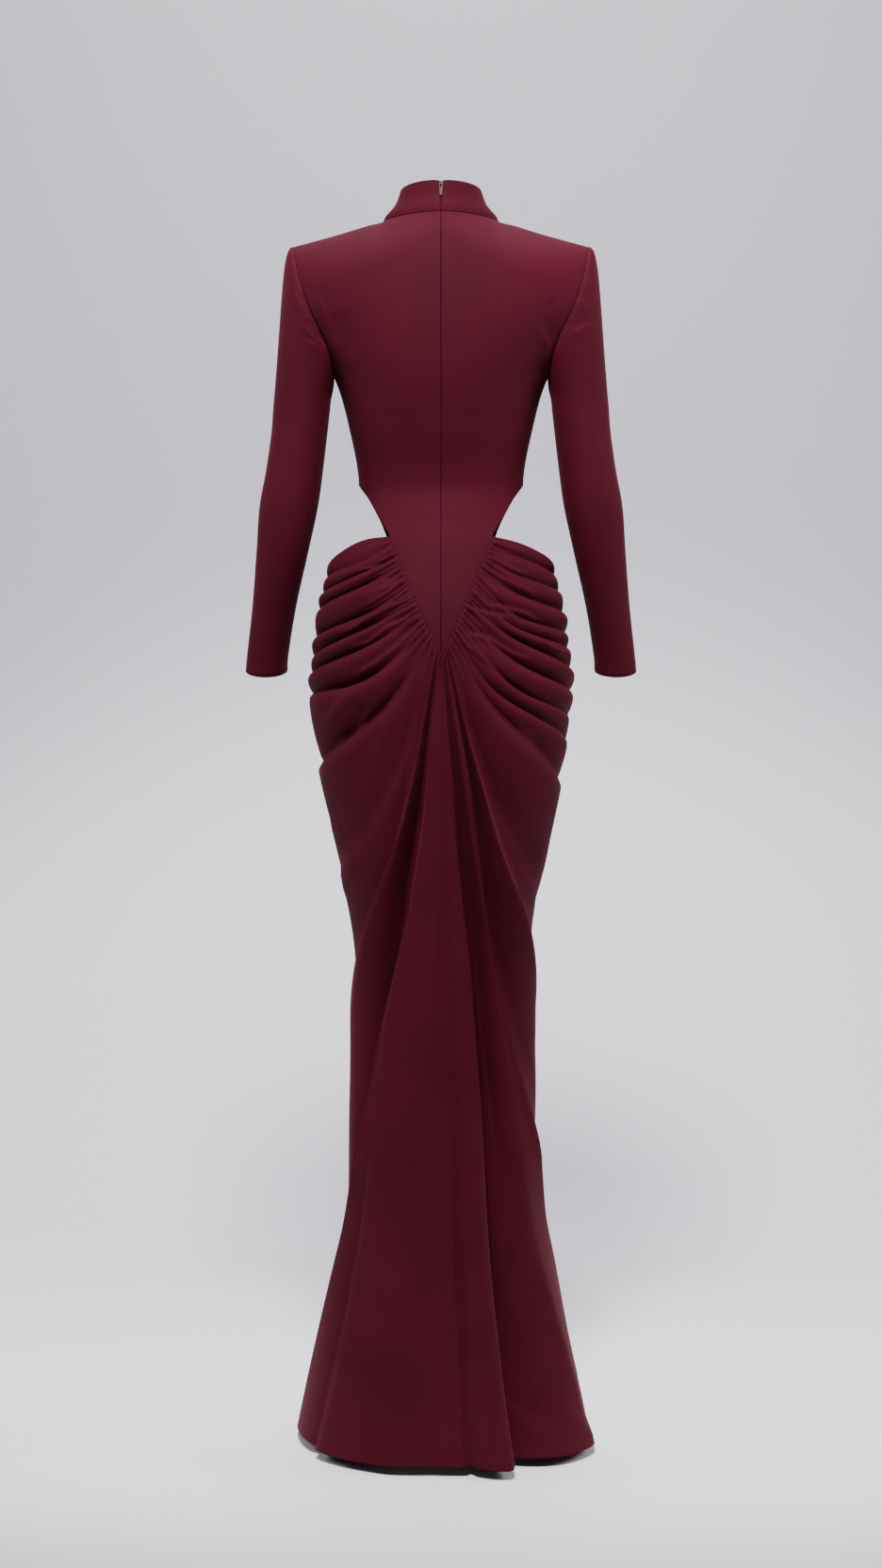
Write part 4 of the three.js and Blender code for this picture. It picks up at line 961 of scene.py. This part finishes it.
# The zip's coil: a bar across the tape for each turn, on its outer face.
def coil_runs():
    centre = zip_centre + zip_outward * COIL["proud"]
    reach = np.concatenate([[0], np.cumsum(np.linalg.norm(np.diff(centre, axis=0), axis=1))])
    runs = []
    for at in np.arange(COIL["ends"], reach[-1] - COIL["ends"], COIL["pitch"]):
        middle = np.array([np.interp(at, reach, centre[:, k]) for k in range(3)])
        off = np.array([np.interp(at, reach, zip_outward[:, k]) for k in range(3)])
        bar = middle + np.array([[-COIL["half"], 0, 0], [COIL["half"], 0, 0]])
        runs.append((bar, np.array([off, off])))
    return runs


# Each bar is one bead, so the pitch along it is its whole width.
# The coil takes the tape's colour, which holds painted shade.
stitches("zip_coil", coil_runs(), 2 * COIL["half"], COIL["long"], COIL["thick"], ZIP_TAPE_WITH_PAINTED_SHADE)


# Studio
FLOOR_Z, WALL_Y, CURVE = -1514, -2300, 1300
PAPER_NEAR, PAPER_TOP, PAPER_HALF = 6500, 4500, 6000
CURVE_STEPS = 12


def paper_material():
    """Pale paper, lighter towards the camera by painted light, and clear from below and behind."""
    paper, tree, shader = new_material("studio_paper", (0.83, 0.82, 0.90), 0.9)
    speckle = tree.nodes.new("ShaderNodeTexNoise")
    speckle.inputs["Scale"].default_value = 2
    relief = tree.nodes.new("ShaderNodeBump")
    relief.inputs["Strength"].default_value = 0.02
    tree.links.new(speckle.outputs["Fac"], relief.inputs["Height"])
    tree.links.new(relief.outputs["Normal"], shader.inputs["Normal"])
    place = tree.nodes.new("ShaderNodeTexCoord")
    split = tree.nodes.new("ShaderNodeSeparateXYZ")
    # Painted light: the paper's colour runs from darker behind the dress to lighter towards the camera.
    painted_light_ramp = tree.nodes.new("ShaderNodeMapRange")
    painted_light_ramp.inputs["From Min"].default_value = -1.2
    painted_light_ramp.inputs["From Max"].default_value = 0.6
    tint = tree.nodes.new("ShaderNodeMix")
    tint.data_type = "RGBA"
    tint.inputs[6].default_value = (0.80, 0.79, 0.87, 1)
    tint.inputs[7].default_value = (0.97, 0.96, 0.99, 1)
    tree.links.new(place.outputs["Object"], split.inputs[0])
    tree.links.new(split.outputs["Y"], painted_light_ramp.inputs["Value"])
    tree.links.new(painted_light_ramp.outputs["Result"], tint.inputs["Factor"])
    tree.links.new(tint.outputs[2], shader.inputs["Base Color"])
    which_side = tree.nodes.new("ShaderNodeNewGeometry")
    clear = tree.nodes.new("ShaderNodeBsdfTransparent")
    either = tree.nodes.new("ShaderNodeMixShader")
    output = tree.nodes["Material Output"]
    tree.links.new(which_side.outputs["Backfacing"], either.inputs[0])
    tree.links.new(clear.outputs[0], either.inputs[1])
    tree.links.new(shader.outputs[0], either.inputs[2])
    tree.links.new(either.outputs[0], output.inputs["Surface"])
    return paper


def studio():
    """A floor that curves up into a wall behind the dress."""
    profile = [(PAPER_NEAR, FLOOR_Z), (3000, FLOOR_Z), (0, FLOOR_Z)]
    for i in range(CURVE_STEPS + 1):
        a = math.pi / 2 * i / CURVE_STEPS
        profile.append((WALL_Y + CURVE * (1 - math.sin(a)), FLOOR_Z + CURVE * (1 - math.cos(a))))
    profile.append((WALL_Y, PAPER_TOP))
    points = [(x, y, z) for y, z in profile for x in (-PAPER_HALF, PAPER_HALF)]
    faces = [(2 * i, 2 * i + 1, 2 * i + 3, 2 * i + 2) for i in range(len(profile) - 1)]
    make_object("studio_floor", points, faces, paper_material())


studio()


KEY_CONE = 46  # degrees


def light(name, kind, place, target, size, power, color=(1, 1, 1)):
    """A soft light at a place in metres, turned towards a target."""
    made = bpy.data.lights.new(name, kind)
    if kind == "AREA":
        made.shape = "DISK"
        made.size = size
    else:
        made.shadow_soft_size = size / 2
        made.spot_size = math.radians(KEY_CONE)
        made.spot_blend = 0.5
    made.energy = power
    made.color = color
    holder = bpy.data.objects.new(name, made)
    holder.location = place
    direction = np.array(target, float) - np.array(place, float)
    pitch = math.atan2(math.hypot(direction[0], direction[1]), -direction[2])
    holder.rotation_euler = (pitch, 0, math.atan2(direction[1], direction[0]) - math.pi / 2)
    bpy.context.collection.objects.link(holder)


light("key", "SPOT", (0.1, 1.8, 1.65), (0, 0, -0.35), 0.5, 730, (1.0, 0.985, 0.97))
for side_name, side_x, side_power in (("left_side", 2.2, 22), ("right_side", -2.2, 34)):
    light(side_name, "AREA", (side_x, 0.1, 0.2), (0, 0, -0.6), 1.2, side_power, (0.97, 0.98, 1.0))
light("backdrop", "AREA", (0, -0.9, 3.0), (0, -2.3, 0.5), 1.4, 72)
light("backdrop_low", "AREA", (0, -0.5, 1.0), (0, -2.2, -1.2), 1.6, 18)
world = bpy.data.worlds.new("studio")
world.use_nodes = True
world.node_tree.nodes["Background"].inputs["Color"].default_value = (0.86, 0.86, 0.92, 1)
world.node_tree.nodes["Background"].inputs["Strength"].default_value = 0.07
bpy.context.scene.world = world
